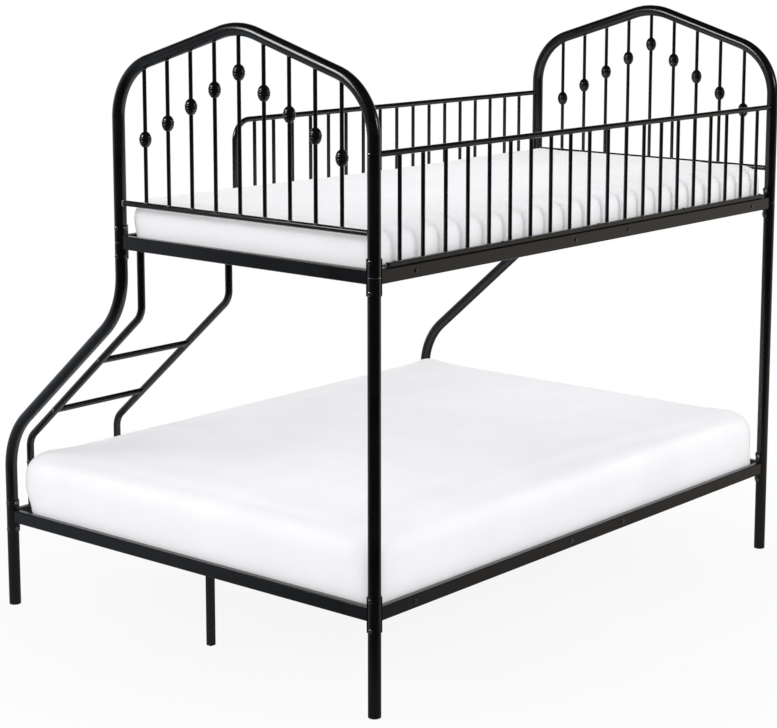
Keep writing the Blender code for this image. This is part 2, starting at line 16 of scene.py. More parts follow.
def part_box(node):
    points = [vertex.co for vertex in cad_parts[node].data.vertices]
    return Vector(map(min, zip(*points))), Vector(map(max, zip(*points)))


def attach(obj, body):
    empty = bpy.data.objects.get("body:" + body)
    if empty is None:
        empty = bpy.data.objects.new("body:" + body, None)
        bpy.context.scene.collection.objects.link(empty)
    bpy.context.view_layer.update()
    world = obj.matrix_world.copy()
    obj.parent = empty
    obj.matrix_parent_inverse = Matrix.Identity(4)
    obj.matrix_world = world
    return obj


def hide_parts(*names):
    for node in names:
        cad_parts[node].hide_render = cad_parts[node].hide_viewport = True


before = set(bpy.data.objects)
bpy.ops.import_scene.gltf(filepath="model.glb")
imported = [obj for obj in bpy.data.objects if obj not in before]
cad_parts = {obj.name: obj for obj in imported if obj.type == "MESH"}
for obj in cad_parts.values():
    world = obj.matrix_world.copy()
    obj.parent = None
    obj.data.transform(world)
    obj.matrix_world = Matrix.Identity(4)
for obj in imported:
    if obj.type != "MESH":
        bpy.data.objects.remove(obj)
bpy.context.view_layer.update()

# %% [markdown]
# ## Camera
# The camera stands high at the near corner, with a long lens, as the photograph was taken.
# The lens is shifted because the photograph is cropped off centre.

# %% Camera
def add_object(name, data):
    """Puts a new object into the scene, at the origin."""
    thing = bpy.data.objects.new(name, data)
    bpy.context.scene.collection.objects.link(thing)
    return thing


camera_place = Vector((4.8079, 4.0521, 2.0013))
camera_heading = math.radians(129.071)
camera_pitch_down = math.radians(9.020)
camera_roll = math.radians(0.238)
camera_data = bpy.data.cameras.new("photo_camera")
camera_data.lens, camera_data.sensor_width = 95.06, 36.0
camera_data.shift_x, camera_data.shift_y = -0.0663, -0.1313
camera = add_object("photo_camera", camera_data)
turn = Matrix.Rotation(camera_heading, 4, "Z")
tilt = Matrix.Rotation(math.pi / 2 - camera_pitch_down, 4, "X")
roll = Matrix.Rotation(camera_roll, 4, "Z")
camera.matrix_world = Matrix.Translation(camera_place) @ turn @ tilt @ roll
bpy.context.scene.camera = camera
bpy.context.scene.view_settings.view_transform = "Standard"
print("camera distance", round(camera_place.length, 3))

# %% [markdown]
# ## Node helpers
# Materials and Geometry Nodes are both trees of nodes. Three small helpers keep the recipes
# short: one feeds the inputs of a node, one adds a node with its inputs, and one adds a Math
# node. A node given for an input is joined by its first output.

# %% Node helpers
def feed(tree, node, *values, **named):
    """Gives a node its inputs, by position or by name: plain values, sockets or other nodes."""
    for key, value in (*enumerate(values), *named.items()):
        entry = node.inputs[key if isinstance(key, int) else key.replace("_", " ")]
        if isinstance(value, bpy.types.Node):
            value = next(socket for socket in value.outputs if socket.enabled)
        if isinstance(value, bpy.types.NodeSocket):
            tree.links.new(value, entry)
        else:
            entry.default_value = value
    return node


def add_node(tree, kind, *values, **settings):
    """Adds a node. A setting is one of its properties or, if it has none of that name, an input."""
    node = tree.nodes.new(kind)
    inputs = {}
    for name, value in settings.items():
        if hasattr(node, name):
            setattr(node, name, value)
        else:
            inputs[name] = value
    return feed(tree, node, *values, **inputs)


def maths(tree, operation, *values):
    return add_node(tree, "ShaderNodeMath", *values, operation=operation)


print("node helpers", [helper.__name__ for helper in (feed, add_node, maths)])


# %% [markdown]
# ## Powder coat
# The steel is sprayed with black powder and baked. The coat is a satin gloss with a fine
# orange peel, and its sheen wanders a little along each tube. Noise on Object coordinates
# gives both: a coarse one moves the roughness, a fine one is the peel in a Bump node.

# %% Start of a finish
def start_finish(name):
    """A new material, its tree, its shader, and the Object coordinates that its patterns follow."""
    material = bpy.data.materials.new(name)
    material.use_nodes = True
    tree = material.node_tree
    place = add_node(tree, "ShaderNodeTexCoord").outputs["Object"]
    return material, tree, tree.nodes["Principled BSDF"], place


def cloudy_tint(tree, cloud, colour, positions, shares):
    """A colour that goes from a darker to a lighter share of itself as the cloud thickens."""
    tint = add_node(tree, "ShaderNodeValToRGB", Fac=cloud)
    for stop, position, share in zip(tint.color_ramp.elements, positions, shares):
        stop.position = position
        stop.color = (*(c * share for c in colour), 1)
    return tint


# %% A finish with peel and wandering sheen
def coated_finish(name, colour, roughness, peel_scale, peel_depth, specular=0.5, coat=0.0, metallic=0.0):
    """A sprayed finish: roughness has two ends, peel_depth is in metres."""
    material, tree, shader, place = start_finish(name)
    cloud = add_node(tree, "ShaderNodeTexNoise", Vector=place, Scale=9.0, Detail=4.0, Roughness=0.6)
    sheen = add_node(tree, "ShaderNodeMapRange", cloud, 0.3, 0.7, *roughness)
    peel = add_node(tree, "ShaderNodeTexNoise", Vector=place, Scale=peel_scale, Detail=2.0)
    bump = add_node(tree, "ShaderNodeBump", Height=peel, Strength=0.6, Distance=peel_depth)
    tint = cloudy_tint(tree, cloud, colour, (0.3, 0.7), (0.7, 1.3))
    feed(tree, shader, Base_Color=tint, Roughness=sheen, Normal=bump, Metallic=metallic)
    feed(tree, shader, Specular_IOR_Level=specular, Coat_Weight=coat, Coat_Roughness=0.1)
    return material


black_coat = coated_finish("black_powder_coat", (0.0022, 0.0022, 0.0025), (0.20, 0.27), 300, 0.000006)
cast_coat = coated_finish("black_cast_coat", (0.003, 0.003, 0.0033), (0.15, 0.24), 200, 0.00002)
glide_plastic = coated_finish("black_glide_plastic", (0.012, 0.012, 0.013), (0.45, 0.62), 700, 0.0001, 0.4)
steel_grey, pale_steel = (0.20, 0.20, 0.21), (0.55, 0.55, 0.56)
bolt_black = coated_finish("black_bolt_finish", steel_grey, (0.13, 0.22), 900, 0.00001, metallic=1.0)
weld_coat = coated_finish("coat_over_welds", steel_grey, (0.18, 0.30), 400, 0.0002, 0.8, 0.3, 0.35)
bare_steel = coated_finish("bare_steel", pale_steel, (0.22, 0.32), 800, 0.00001, metallic=1.0)
finishes = (black_coat, cast_coat, bolt_black, glide_plastic, weld_coat, bare_steel)
print("metal finishes", [finish.name for finish in finishes])

# %% [markdown]
# ## Floor and light
# The bed stands on a plain white floor before a white backdrop, under a dark ceiling, and the
# side of the studio behind the camera is dim. So the world and the floor are white to the
# camera, and light only on the backdrop's side to reflections, which leaves the middle of each
# tube nearly black. The studio is a little cooler on the ladder side than on the wall side.

# %% The light and the dim side of the studio
backdrop_way, ladder_way = (-0.755, -0.656, 0.0), (0.656, -0.755, 0.0)
dim_level = 0.01
white, cool_white, warm_white = (1.0, 1.0, 1.0, 1), (0.80, 0.89, 1.0, 1), (1.0, 0.92, 0.82, 1)


def ease(tree, value, low, high, from_level, to_level):
    """A level that changes smoothly while a value goes from low to high."""
    change = add_node(tree, "ShaderNodeMapRange", value, low, high, from_level, to_level)
    change.interpolation_type = "SMOOTHSTEP"
    return change


def spread(tree, vector, way, low, high, from_level, to_level):
    """A level that changes along a way, between the places or slants low and high."""
    along = add_node(tree, "ShaderNodeVectorMath", vector, way, operation="DOT_PRODUCT")
    return ease(tree, along.outputs["Value"], low, high, from_level, to_level)


def studio_tint(tree, vector, reach):
    """Warm on the wall side, cool on the ladder side."""
    share = spread(tree, vector, ladder_way, -reach, reach, 0.0, 1.0)
    tint = add_node(tree, "ShaderNodeValToRGB", share)
    tint.color_ramp.elements[0].color = warm_white
    tint.color_ramp.elements[1].color = cool_white
    return tint


def seen_white(tree, plain, kind, output, glossy_level, glossy_tint, share=1.0):
    """Camera and transmission rays see white, glossy rays see their level, others the plain shader."""
    rays = add_node(tree, "ShaderNodeLightPath").outputs
    direct = maths(tree, "MAXIMUM", rays["Is Camera Ray"], rays["Is Transmission Ray"])
    amount = maths(tree, "MULTIPLY", direct, share)
    bright = add_node(tree, kind, Color=white, Strength=1.0)
    mirrored = add_node(tree, kind, Color=glossy_tint, Strength=glossy_level)
    glossy = add_node(tree, "ShaderNodeMixShader", rays["Is Glossy Ray"], plain, mirrored)
    feed(tree, output, Surface=add_node(tree, "ShaderNodeMixShader", amount, glossy, bright))


# %% World
# Most light comes from half way up the walls of the studio, and little from its ceiling, so
# that it reaches the lower mattress under the upper bunk. The ramp gives the light by slant.
world = bpy.data.worlds.new("white_studio")
world.use_nodes = True
bpy.context.scene.world = world
world_tree = world.node_tree
world_way = add_node(world_tree, "ShaderNodeTexCoord").outputs["Generated"]
height = add_node(world_tree, "ShaderNodeSeparateXYZ", world_way).outputs["Z"]
light_by_slant = add_node(world_tree, "ShaderNodeValToRGB", height)
stops = light_by_slant.color_ramp.elements
for stop, level in zip(stops, (0.52, 0.07)):
    stop.color = (level, level, level, 1)
for slant, level in ((0.30, 0.74), (0.55, 1.0), (0.74, 0.84), (0.86, 0.20)):
    stops.new(slant).color = (level, level, level, 1)
brightest = 1.66
sky = world_tree.nodes["Background"]
feed(world_tree, sky, Color=white, Strength=maths(world_tree, "MULTIPLY", light_by_slant, brightest))
world_gloss = spread(world_tree, world_way, (*backdrop_way[:2], -2.0), -0.30, 0.50, dim_level, 0.85)
world_tint = studio_tint(world_tree, world_way, 0.8)
output = world_tree.nodes["World Output"]
seen_white(world_tree, sky, "ShaderNodeBackground", output, world_gloss, world_tint)
print("light by slant", [round(stop.position, 2) for stop in stops])

# %% Floor
# The bed shades the floor near it, so a painted shadow makes the floor mirror less light there than
# further off.
floor_paint, floor_tree, floor_shader, floor_place = start_finish("white_floor_paint")
feed(floor_tree, floor_shader, Base_Color=(0.68, 0.68, 0.68, 1), Roughness=0.9, Specular_IOR_Level=0.1)
from_bed = add_node(floor_tree, "ShaderNodeVectorMath", floor_place, operation="LENGTH").outputs["Value"]
floor_share = ease(floor_tree, from_bed, 1.0, 2.6, 0.90, 1.0)
floor_shade = ease(floor_tree, from_bed, 1.4, 3.4, 0.55, 1.0)
floor_gloss = spread(floor_tree, floor_place, backdrop_way, -1.9, -0.8, dim_level, 0.56)
floor_mirror = maths(floor_tree, "MULTIPLY", floor_gloss, floor_shade)
floor_tint = studio_tint(floor_tree, floor_place, 2.0)
output = floor_tree.nodes["Material Output"]
seen_white(floor_tree, floor_shader, "ShaderNodeEmission", output, floor_mirror, floor_tint, floor_share)
floor_reach, floor_drop = 30.0, 0.0005
floor_mesh = bpy.data.meshes.new("studio_floor")
floor_ways = ((-1, -1), (1, -1), (1, 1), (-1, 1))
floor_corners = [(x * floor_reach, y * floor_reach, -floor_drop) for x, y in floor_ways]
floor_mesh.from_pydata(floor_corners, [], [(0, 1, 2, 3)])
floor_mesh.materials.append(floor_paint)
studio_floor = add_object("studio_floor", floor_mesh)
print("floor reach", floor_reach, "dim level", dim_level)


# %% Soft lamps
def soft_lamp(name, place, aim, size, power):
    """A soft box that looks from its place at its aim."""
    data = bpy.data.lights.new(name, "AREA")
    data.shape = "RECTANGLE"
    data.size, data.size_y = size
    data.energy = power
    lamp = add_object(name, data)
    lamp.location = place
    lamp.rotation_euler = (Vector(aim) - Vector(place)).to_track_quat("-Z", "Y").to_euler()
    return lamp


key_place, key_size = (4.5, -1.8, 3.5), (2.2, 1.5)
soft_lamp("key_soft_box", key_place, (0, 0, 0.9), key_size, 42)
soft_lamp("side_soft_box", (-1.4, 4.5, 2.8), (0, 0, 0.8), (0.8, 0.8), 32)
# The highlight box gives the long gleam on the tubes and leaves the pale cloth alone.
highlight = soft_lamp("highlight_soft_box", key_place, (0, 0, 1.6), key_size, 150)
highlight.visible_diffuse = False

# %% [markdown]
# ## Sizes of the bed
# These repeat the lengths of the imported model, so that a dressed piece lies exactly where
# the plain solid is. The posts stand on four corners, and the upper bunk is the narrower.

# %% Sizes shared by the pieces
post_diameter = 0.035
post_radius = post_diameter / 2
near_x, far_x = 0.975, -0.975
ends = {"near": near_x, "far": far_x}
wall_y, upper_front_y, lower_front_y = 0.72815, -0.20585, -0.71185
side_ys = {
    "upper": {"wall": wall_y, "front": upper_front_y},
    "lower": {"wall": wall_y, "front": lower_front_y},
}
upper_middle_y = (wall_y + upper_front_y) / 2
lower_middle_y = (wall_y + lower_front_y) / 2
seam_height = 1.156
rail_thickness, rail_height = 0.020, 0.038
rail_bottoms = {"upper": 1.137, "lower": 0.257}
rail_tops = {"upper": 1.175, "lower": 0.295}
gap = 0.0003

# %% [markdown]
# ## Bent tubes
# Arches, posts, ladder rails and guard tubes are all round tube, bent on a machine. So one
# Geometry Nodes tree makes them all: it takes the corners of the centre line, rounds each
# one by the bend radius stored on its vertex, and sweeps a circle along the result.

# %% Start, end and use of a tree
def new_tree(name, **inputs):
    """A Geometry Nodes tree, and the sockets of its mesh, its named inputs and its finish."""
    tree = bpy.data.node_groups.new(name, "GeometryNodeTree")
    for label, kind in {"Geometry": "Geometry", **inputs, "Finish": "Material"}.items():
        label = label.replace("_", " ")
        tree.interface.new_socket(label, in_out="INPUT", socket_type=f"NodeSocket{kind}")
    tree.interface.new_socket("Geometry", in_out="OUTPUT", socket_type="NodeSocketGeometry")
    return tree, tree.nodes.new("NodeGroupInput").outputs


def end_tree(tree, shape, finish):
    """Closes a tree: Realize Instances, smooth shading, Set Material and the output."""
    real = add_node(tree, "GeometryNodeRealizeInstances", shape)
    shade = add_node(tree, "GeometryNodeSetShadeSmooth", real, Shade_Smooth=True)
    paint = add_node(tree, "GeometryNodeSetMaterial", shade, Material=finish)
    add_node(tree, "NodeGroupOutput", paint)


def shown_mesh(piece):
    """What a piece's modifiers show, as a plain mesh."""
    return bpy.data.meshes.new_from_object(piece.evaluated_get(bpy.context.evaluated_depsgraph_get()))


def use_tree(name, mesh, tree, finish, **values):
    """Runs a tree on a mesh and keeps the result as a plain mesh object at the origin."""
    source = add_object(f"{name}_source", mesh)
    modifier = source.modifiers.new(name, "NODES")
    modifier.node_group = tree
    values["Finish"] = finish
    for item in tree.interface.items_tree:
        label = item.name.replace(" ", "_")
        if item.in_out == "INPUT" and label in values:
            modifier[item.identifier] = values[label]
    made = shown_mesh(source)
    bpy.data.objects.remove(source, do_unlink=True)
    return add_object(name, made)


# %% A tree that bends a tube
def circle(tree, diameter, sides):
    half = maths(tree, "MULTIPLY", diameter, 0.5)
    return add_node(tree, "GeometryNodeCurvePrimitiveCircle", Resolution=sides, Radius=half)


def sweep(tree, path, profile):
    """A profile swept along a path and closed at both ends."""
    return add_node(tree, "GeometryNodeCurveToMesh", Curve=path, Profile_Curve=profile, Fill_Caps=True)


def round_corners(tree, curve, radius, steps):
    return add_node(tree, "GeometryNodeFilletCurve", curve, mode="POLY", Radius=radius, Count=steps)


bend_tree, given = new_tree("bent_tube", Diameter="Float", Sides="Int", Bend_Steps="Int")
line = add_node(bend_tree, "GeometryNodeMeshToCurve", given["Geometry"])
bend = add_node(bend_tree, "GeometryNodeInputNamedAttribute", data_type="FLOAT", Name="bend_radius")
path = round_corners(bend_tree, line, bend, given["Bend Steps"])
tube = sweep(bend_tree, path, circle(bend_tree, given["Diameter"], given["Sides"]))
end_tree(bend_tree, tube, given["Finish"])
print("bend tree nodes", len(bend_tree.nodes))

# %% Bend one tube
sharp_angle = math.radians(42)


def polyline(name, corners, radii=None):
    """A mesh of points joined in a row, with a bend radius on each point."""
    mesh = bpy.data.meshes.new(name)
    mesh.from_pydata(corners, [(i, i + 1) for i in range(len(corners) - 1)], [])
    store = mesh.attributes.new("bend_radius", "FLOAT", "POINT")
    store.data.foreach_set("value", radii or [0.0] * len(corners))
    return mesh


def apply_modifiers(piece):
    """Turns what the modifiers show into the piece's own mesh."""
    made = shown_mesh(piece)
    piece.modifiers.clear()
    old = piece.data
    piece.data = made
    bpy.data.meshes.remove(old)


def crisp_ends(piece, width, angle=50):
    """Rounds the rims of a piece with a small bevel, then keeps the shading of long faces even."""
    bevel = piece.modifiers.new("rims", "BEVEL")
    bevel.width = width
    bevel.segments = 2
    bevel.limit_method = "ANGLE"
    bevel.angle_limit = math.radians(angle)
    apply_modifiers(piece)
    piece.data.shade_smooth()
    piece.data.set_sharp_from_angle(angle=sharp_angle)
    even = piece.modifiers.new("even_shading", "WEIGHTED_NORMAL")
    even.keep_sharp = True
    apply_modifiers(piece)
    return piece


def bent_tube(name, corners, diameter, radii=None, finish=black_coat, sides=32, steps=24, rim=0.0012):
    """A round tube along the corners, bent at each one by its radius."""
    line = polyline(name, corners, radii)
    tube = use_tree(name, line, bend_tree, finish, Diameter=diameter, Sides=sides, Bend_Steps=steps)
    return crisp_ends(tube, rim)


def upright(x, y, low, high):
    return [(x, y, low), (x, y, high)]


def lengthwise(start_x, stop_x, y, z):
    return [(start_x, y, z), (stop_x, y, z)]


def settle(piece, *nodes, body="frame", slot="black_coat"):
    """Last step of a piece: it rides on its body and stands for its nodes. Its slot is not used."""
    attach(piece, body)
    if nodes:
        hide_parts(*nodes)


# %% [markdown]
# ## Arches and posts
# Each end frame is one tube: up from the seam, over a wide shoulder, up a slope to a low
# rounded peak, and down again. The front lower post flares from the narrow bunk to the
# wide one in an S. The rims at the seam are rounded, and a ring of bare steel shows between
# them as a fine bright line.

# %% Put meshes together
def piece_from(name, bm, finishes=()):
    """A piece made of a finished bmesh."""
    mesh = bpy.data.meshes.new(name)
    bm.to_mesh(mesh)
    bm.free()
    for finish in finishes:
        mesh.materials.append(finish)
    return add_object(name, mesh)


def merge_pieces(name, pieces):
    """Puts several pieces into one, in which each face keeps its finish."""
    bm = bmesh.new()
    finishes = []
    for piece in pieces:
        before = len(bm.faces)
        bm.from_mesh(piece.data)
        bm.faces.ensure_lookup_table()
        for face in bm.faces[before:]:
            finish = piece.data.materials[face.material_index]
            if finish not in finishes:
                finishes.append(finish)
            face.material_index = finishes.index(finish)
        bpy.data.objects.remove(piece, do_unlink=True)
    return piece_from(name, bm, finishes)


# %% Arches
arch_shoulder_height, arch_peak_height = 1.6266, 1.771
arch_shoulder_radius, arch_peak_radius = 0.170, 0.224
arch_bends = [0, arch_shoulder_radius, arch_peak_radius, arch_shoulder_radius, 0]
spigot_diameter, spigot_length, spigot_grip = 0.030, 0.070, 0.002
ring_diameter, ring_below, ring_above = post_diameter - 0.0005, 0.0010, 0.0008
for end, x in ends.items():
    corners = [
        (x, wall_y, seam_height),
        (x, wall_y, arch_shoulder_height),
        (x, upper_middle_y, arch_peak_height),
        (x, upper_front_y, arch_shoulder_height),
        (x, upper_front_y, seam_height),
    ]
    parts = [bent_tube(f"{end}_arch_tube", corners, post_diameter, arch_bends, sides=40, steps=30)]
    for side, y in side_ys["upper"].items():
        spigot = upright(x, y, seam_height - spigot_length, seam_height + spigot_grip)
        parts.append(bent_tube(f"{end}_{side}_spigot", spigot, spigot_diameter))
        seam = upright(x, y, seam_height - ring_below, seam_height + ring_above)
        ring = bent_tube(f"{end}_{side}_ring", seam, ring_diameter, finish=bare_steel, rim=0.0001)
        parts.append(ring)
    settle(merge_pieces(f"{end}_arch", parts), f"{end}_arch_frame")

# %% Lower posts
flare_top_height, flare_bottom_height, flare_radius = 0.961, 0.523, 0.220
post_foot, post_top = 0.0043, seam_height - gap
for end, x in ends.items():
    straight = upright(x, wall_y, post_foot, post_top)
    tube = bent_tube(f"{end}_wall_post_tube", straight, post_diameter, sides=40)
    settle(tube, f"{end}_wall_post")
    flared = [
        (x, lower_front_y, post_foot),
        (x, lower_front_y, flare_bottom_height),
        (x, upper_front_y, flare_top_height),
        (x, upper_front_y, post_top),
    ]
    flares = [0, flare_radius, flare_radius, 0]
    tube = bent_tube(f"{end}_flared_post_tube", flared, post_diameter, flares, sides=40)
    settle(tube, f"{end}_flared_post")

# %% [markdown]
# ## Turned pieces
# Knuckles, bolt heads, nuts and glides are all round. Each is drawn as half a profile and
# spun round its axis, and where many are needed a tree sets copies on points.

# %% Spin a profile
def turned(profile, sides, smooth_angle=40):
    """A profile of (radius, height) points from the top axis to the bottom axis, spun round Z."""
    bm = bmesh.new()
    rings = []
    for radius, height in profile:
        angles = [2 * math.pi * i / sides for i in range(sides)] if radius else [0.0]
        places = [(radius * math.cos(a), radius * math.sin(a), height) for a in angles]
        rings.append([bm.verts.new(place) for place in places])
    for upper, lower in zip(rings, rings[1:]):
        for i in range(sides):
            j = (i + 1) % sides
            corners = ((upper, i), (lower, i), (lower, j), (upper, j))
            face = list(dict.fromkeys(ring[k % len(ring)] for ring, k in corners))
            if len(face) > 2:
                bm.faces.new(face)
    bmesh.ops.recalc_face_normals(bm, faces=bm.faces)
    shape = piece_from("turned_shape", bm)
    shape.data.shade_smooth()
    shape.data.set_sharp_from_angle(angle=math.radians(smooth_angle))
    return shape


# %% A tree that sets copies on points
copy_tree, given = new_tree("copies_on_points", Copy="Object")
shape = add_node(copy_tree, "GeometryNodeObjectInfo", Object=given["Copy"]).outputs["Geometry"]
facing = add_node(copy_tree, "GeometryNodeInputNamedAttribute", data_type="FLOAT_VECTOR", Name="facing")
aim = add_node(copy_tree, "FunctionNodeAlignRotationToVector", axis="Z", Vector=facing)
points = given["Geometry"]
setter = add_node(copy_tree, "GeometryNodeInstanceOnPoints", Points=points, Instance=shape, Rotation=aim)
end_tree(copy_tree, setter, given["Finish"])
print("copy tree nodes", len(copy_tree.nodes))


def copies(name, shape, places, finish):
    """Copies of a turned shape: each place is a point and the way that the copy's top faces."""
    mesh = bpy.data.meshes.new(name)
    mesh.from_pydata([place for place, _ in places], [], [])
    store = mesh.attributes.new("facing", "FLOAT_VECTOR", "POINT")
    store.data.foreach_set("vector", [value for _, way in places for value in way])
    piece = use_tree(name, mesh, copy_tree, finish, Copy=shape)
    bpy.data.objects.remove(shape, do_unlink=True)
    return piece


# %% [markdown]
# ## Knuckles
# The cast knuckles are eggs that close on the spindle: a smooth cap on top, two broad ribs
# round the middle, a fine line, and a lip and a cup below, with turned grooves between them.

# %% Knuckle profile and places
spindle_diameter, spindle_count, spindle_pitch = 0.011, 9, 0.090
spindle_steps = [i - (spindle_count - 1) / 2 for i in range(spindle_count)]
spindle_ys = [upper_middle_y + step * spindle_pitch for step in spindle_steps]
knuckle_diameter, knuckle_height = 0.034, 0.046
knuckle_peak_height, knuckle_step = 1.648, 0.0498
bore = spindle_diameter / 2 * 0.97
knuckle_grooves = (
    (0.325, 0.018, 0.075),
    (0.535, 0.016, 0.075),
    (0.695, 0.017, 0.070),
    (0.760, 0.009, 0.035),
    (0.835, 0.018, 0.090),
    (0.950, 0.014, 0.150),
)


def knuckle_profile():
    """Half the outline of a knuckle, an egg cut by grooves: each has a place, a width and a depth."""
    widest, rings = 0.49, 64
    points = [(bore, knuckle_height / 2)]
    for i in range(rings + 1):
        share = 0.003 + 0.994 * i / rings
        span = widest if share < widest else 1 - widest
        egg = math.sqrt(1 - ((share - widest) / span) ** 2)
        for place, width, depth in knuckle_grooves:
            egg *= 1 - depth * math.exp(-(((share - place) / width) ** 2))
        points.append((max(bore, egg * knuckle_diameter / 2), (0.5 - share) * knuckle_height))
    points += [(bore, -knuckle_height / 2), (bore, knuckle_height / 2)]
    return points


up, down = (0, 0, 1), (0, 0, -1)
knuckle_zs = [knuckle_peak_height - abs(step) * knuckle_step for step in spindle_steps]
for end, x in ends.items():
    places = [((x, y, z), up) for y, z in zip(spindle_ys, knuckle_zs)]
    knuckles = copies(f"{end}_knuckles", turned(knuckle_profile(), 32, 60), places, cast_coat)
    settle(knuckles, *[f"{end}_knuckle_{i + 1}" for i in range(spindle_count)], slot="cast_coat")
print("knuckle faces", len(knuckles.data.polygons))

# %% [markdown]
# ## Grilles
# A thin cross tube runs between the posts of each arch, and nine spindles stand on it and
# reach up into the arch. They follow a rule, so a tree makes them: a row of points is
# extruded upwards to the slope of the arch, and a circle is swept along each line.

# %% A tree for upright bars
def row_of_points(tree, given):
    """As many points as the tree's count says, a step apart."""
    places = {"Count": given["Count"], "Start_Location": given["First"], "Offset": given["Step"]}
    return add_node(tree, "GeometryNodeMeshLine", mode="OFFSET", **places)


row_inputs = {"Count": "Int", "First": "Vector", "Step": "Vector"}
arch_inputs = {"Peak_Place": "Float", "Peak_Rise": "Float", "Slope": "Float"}
bar_tree, given = new_tree("spindles_to_an_arch", **row_inputs, **arch_inputs, Diameter="Float")
row = row_of_points(bar_tree, given)
feet = add_node(bar_tree, "GeometryNodeDeleteGeometry", row, domain="EDGE", mode="EDGE_FACE")
place = add_node(bar_tree, "GeometryNodeInputPosition")
place_y = add_node(bar_tree, "ShaderNodeSeparateXYZ", place).outputs["Y"]
away = maths(bar_tree, "ABSOLUTE", maths(bar_tree, "SUBTRACT", place_y, given["Peak Place"]))
fall = maths(bar_tree, "MULTIPLY", away, given["Slope"])
rise = maths(bar_tree, "SUBTRACT", given["Peak Rise"], fall)
upwards = add_node(bar_tree, "ShaderNodeCombineXYZ", Z=rise)
grow = add_node(bar_tree, "GeometryNodeExtrudeMesh", mode="VERTICES", Mesh=feet, Offset=upwards)
line = add_node(bar_tree, "GeometryNodeMeshToCurve", grow)
end_tree(bar_tree, sweep(bar_tree, line, circle(bar_tree, given["Diameter"], 20)), given["Finish"])
print("bar tree nodes", len(bar_tree.nodes))


def upright_bars(name, count, first, step, rise, diameter, slope=0.0, peak=0.0):
    """A row of bars that end level or, where there is a slope, lower on either side of the peak."""
    values = {"Count": count, "First": first, "Step": step, "Diameter": diameter}
    arch = {"Peak_Rise": rise, "Peak_Place": peak, "Slope": slope}
    bars = use_tree(name, bpy.data.meshes.new(name), bar_tree, black_coat, **values, **arch)
    bars.data.set_sharp_from_angle(angle=sharp_angle)
    return bars


# %% Grilles
cross_tube_diameter, cross_tube_height, cross_tube_inset = 0.016, 1.2666, 0.010
arch_slope = (arch_peak_height - arch_shoulder_height) / ((wall_y - upper_front_y) / 2)
spindle_rise = arch_peak_height - cross_tube_height - 0.006
spindle_step = (0.0, spindle_pitch, 0.0)
for end, x in ends.items():
    first = (x, spindle_ys[0], cross_tube_height)
    bars = (f"{end}_spindles", spindle_count, first, spindle_step, spindle_rise, spindle_diameter)
    spindles = upright_bars(*bars, slope=arch_slope, peak=upper_middle_y)
    inner_ys = (wall_y - cross_tube_inset, upper_front_y + cross_tube_inset)
    cross = [(x, y, cross_tube_height) for y in inner_ys]
    cross_tube = bent_tube(f"{end}_cross_tube", cross, cross_tube_diameter, sides=24)
    grille = merge_pieces(f"{end}_grille", [spindles, cross_tube])
    settle(grille, f"{end}_arch_grille")
print("grille faces", len(grille.data.polygons))

# %% [markdown]
# ## Welds
# Every bar is welded where it meets a tube. The bead is a small uneven ring that catches
# the light, so it is made as a lumpy ring and copied to every joint. Its foot is flat, so it
# sinks a little into what it stands on, and most into a thin round tube.

# %% Weld ring
spindle_bead, guard_bead = 0.0030, 0.0026
flat_sink, post_sink, thin_tube_sink = 0.0003, 0.0008, 0.0012


def weld_ring(bar_diameter, bead):
    """A low flared collar round a bar: its foot lies on the tube, its lip on the bar."""
    inner = bar_diameter / 2 - flat_sink
    profile = [(inner, 0)]
    for i in range(7):
        angle = math.pi / 2 * i / 6
        profile.append((inner + bead * (1 - math.sin(angle)), bead * (1 - math.cos(angle))))
    ring = turned(profile[::-1], 20, 80)
    for vert in ring.data.vertices:
        angle = math.atan2(vert.co.y, vert.co.x)
        vert.co.z *= 1 + 0.10 * math.sin(3 * angle + 0.7) + 0.07 * math.sin(7 * angle)
    return ring


def spindle_welds(x):
    """Weld places at the spindle feet, on top of the cross tube, and in the arch above."""
    top = cross_tube_height + cross_tube_diameter / 2 - thin_tube_sink
    places = [((x, y, top), up) for y in spindle_ys]
    lean = math.atan(arch_slope)
    for y in spindle_ys:
        centre = arch_peak_height - abs(y - upper_middle_y) * arch_slope
        places.append(((x, y, centre - post_radius / math.cos(lean) + post_sink), down))
    return places


for end, x in ends.items():
    ring = weld_ring(spindle_diameter, spindle_bead)
    welds = copies(f"{end}_spindle_welds", ring, spindle_welds(x), weld_coat)
    settle(welds)
    inset = post_radius - post_sink
    sides = [((x, wall_y - inset, cross_tube_height), (0, -1, 0))]
    sides.append(((x, upper_front_y + inset, cross_tube_height), (0, 1, 0)))
    ring = weld_ring(cross_tube_diameter, spindle_bead)
    settle(copies(f"{end}_cross_welds", ring, sides, weld_coat))
print("weld faces", len(welds.data.polygons))

# %% [markdown]
# ## Box rails
# The rails are rectangular tube with rounded corners. A rounded rectangle swept along the
# rail's line gives the long soft highlights on the corners.

# %% A tree for box tube
def box_sweep(tree, path, width, height, corner_radius, corner_steps):
    """A rectangle with rounded corners, kept level and swept along a path."""
    outline = add_node(tree, "GeometryNodeCurvePrimitiveQuadrilateral", Width=width, Height=height)
    level = add_node(tree, "GeometryNodeSetCurveNormal", path, mode="Z_UP")
    return sweep(tree, level, round_corners(tree, outline, corner_radius, corner_steps))


box_tree, given = new_tree("box_tube", Width="Float", Height="Float", Corner_Radius="Float")
line = add_node(box_tree, "GeometryNodeMeshToCurve", given["Geometry"])
tube = box_sweep(box_tree, line, given["Width"], given["Height"], given["Corner Radius"], 5)
end_tree(box_tree, tube, given["Finish"])
print("box tree nodes", len(box_tree.nodes))


def box_tube(name, line, width, height, corner_radius, finish=black_coat, rim=0.0008):
    """A straight rectangular tube between the two ends of a line."""
    sizes = {"Width": width, "Height": height, "Corner_Radius": corner_radius}
    return crisp_ends(use_tree(name, polyline(name, line), box_tree, finish, **sizes), rim)


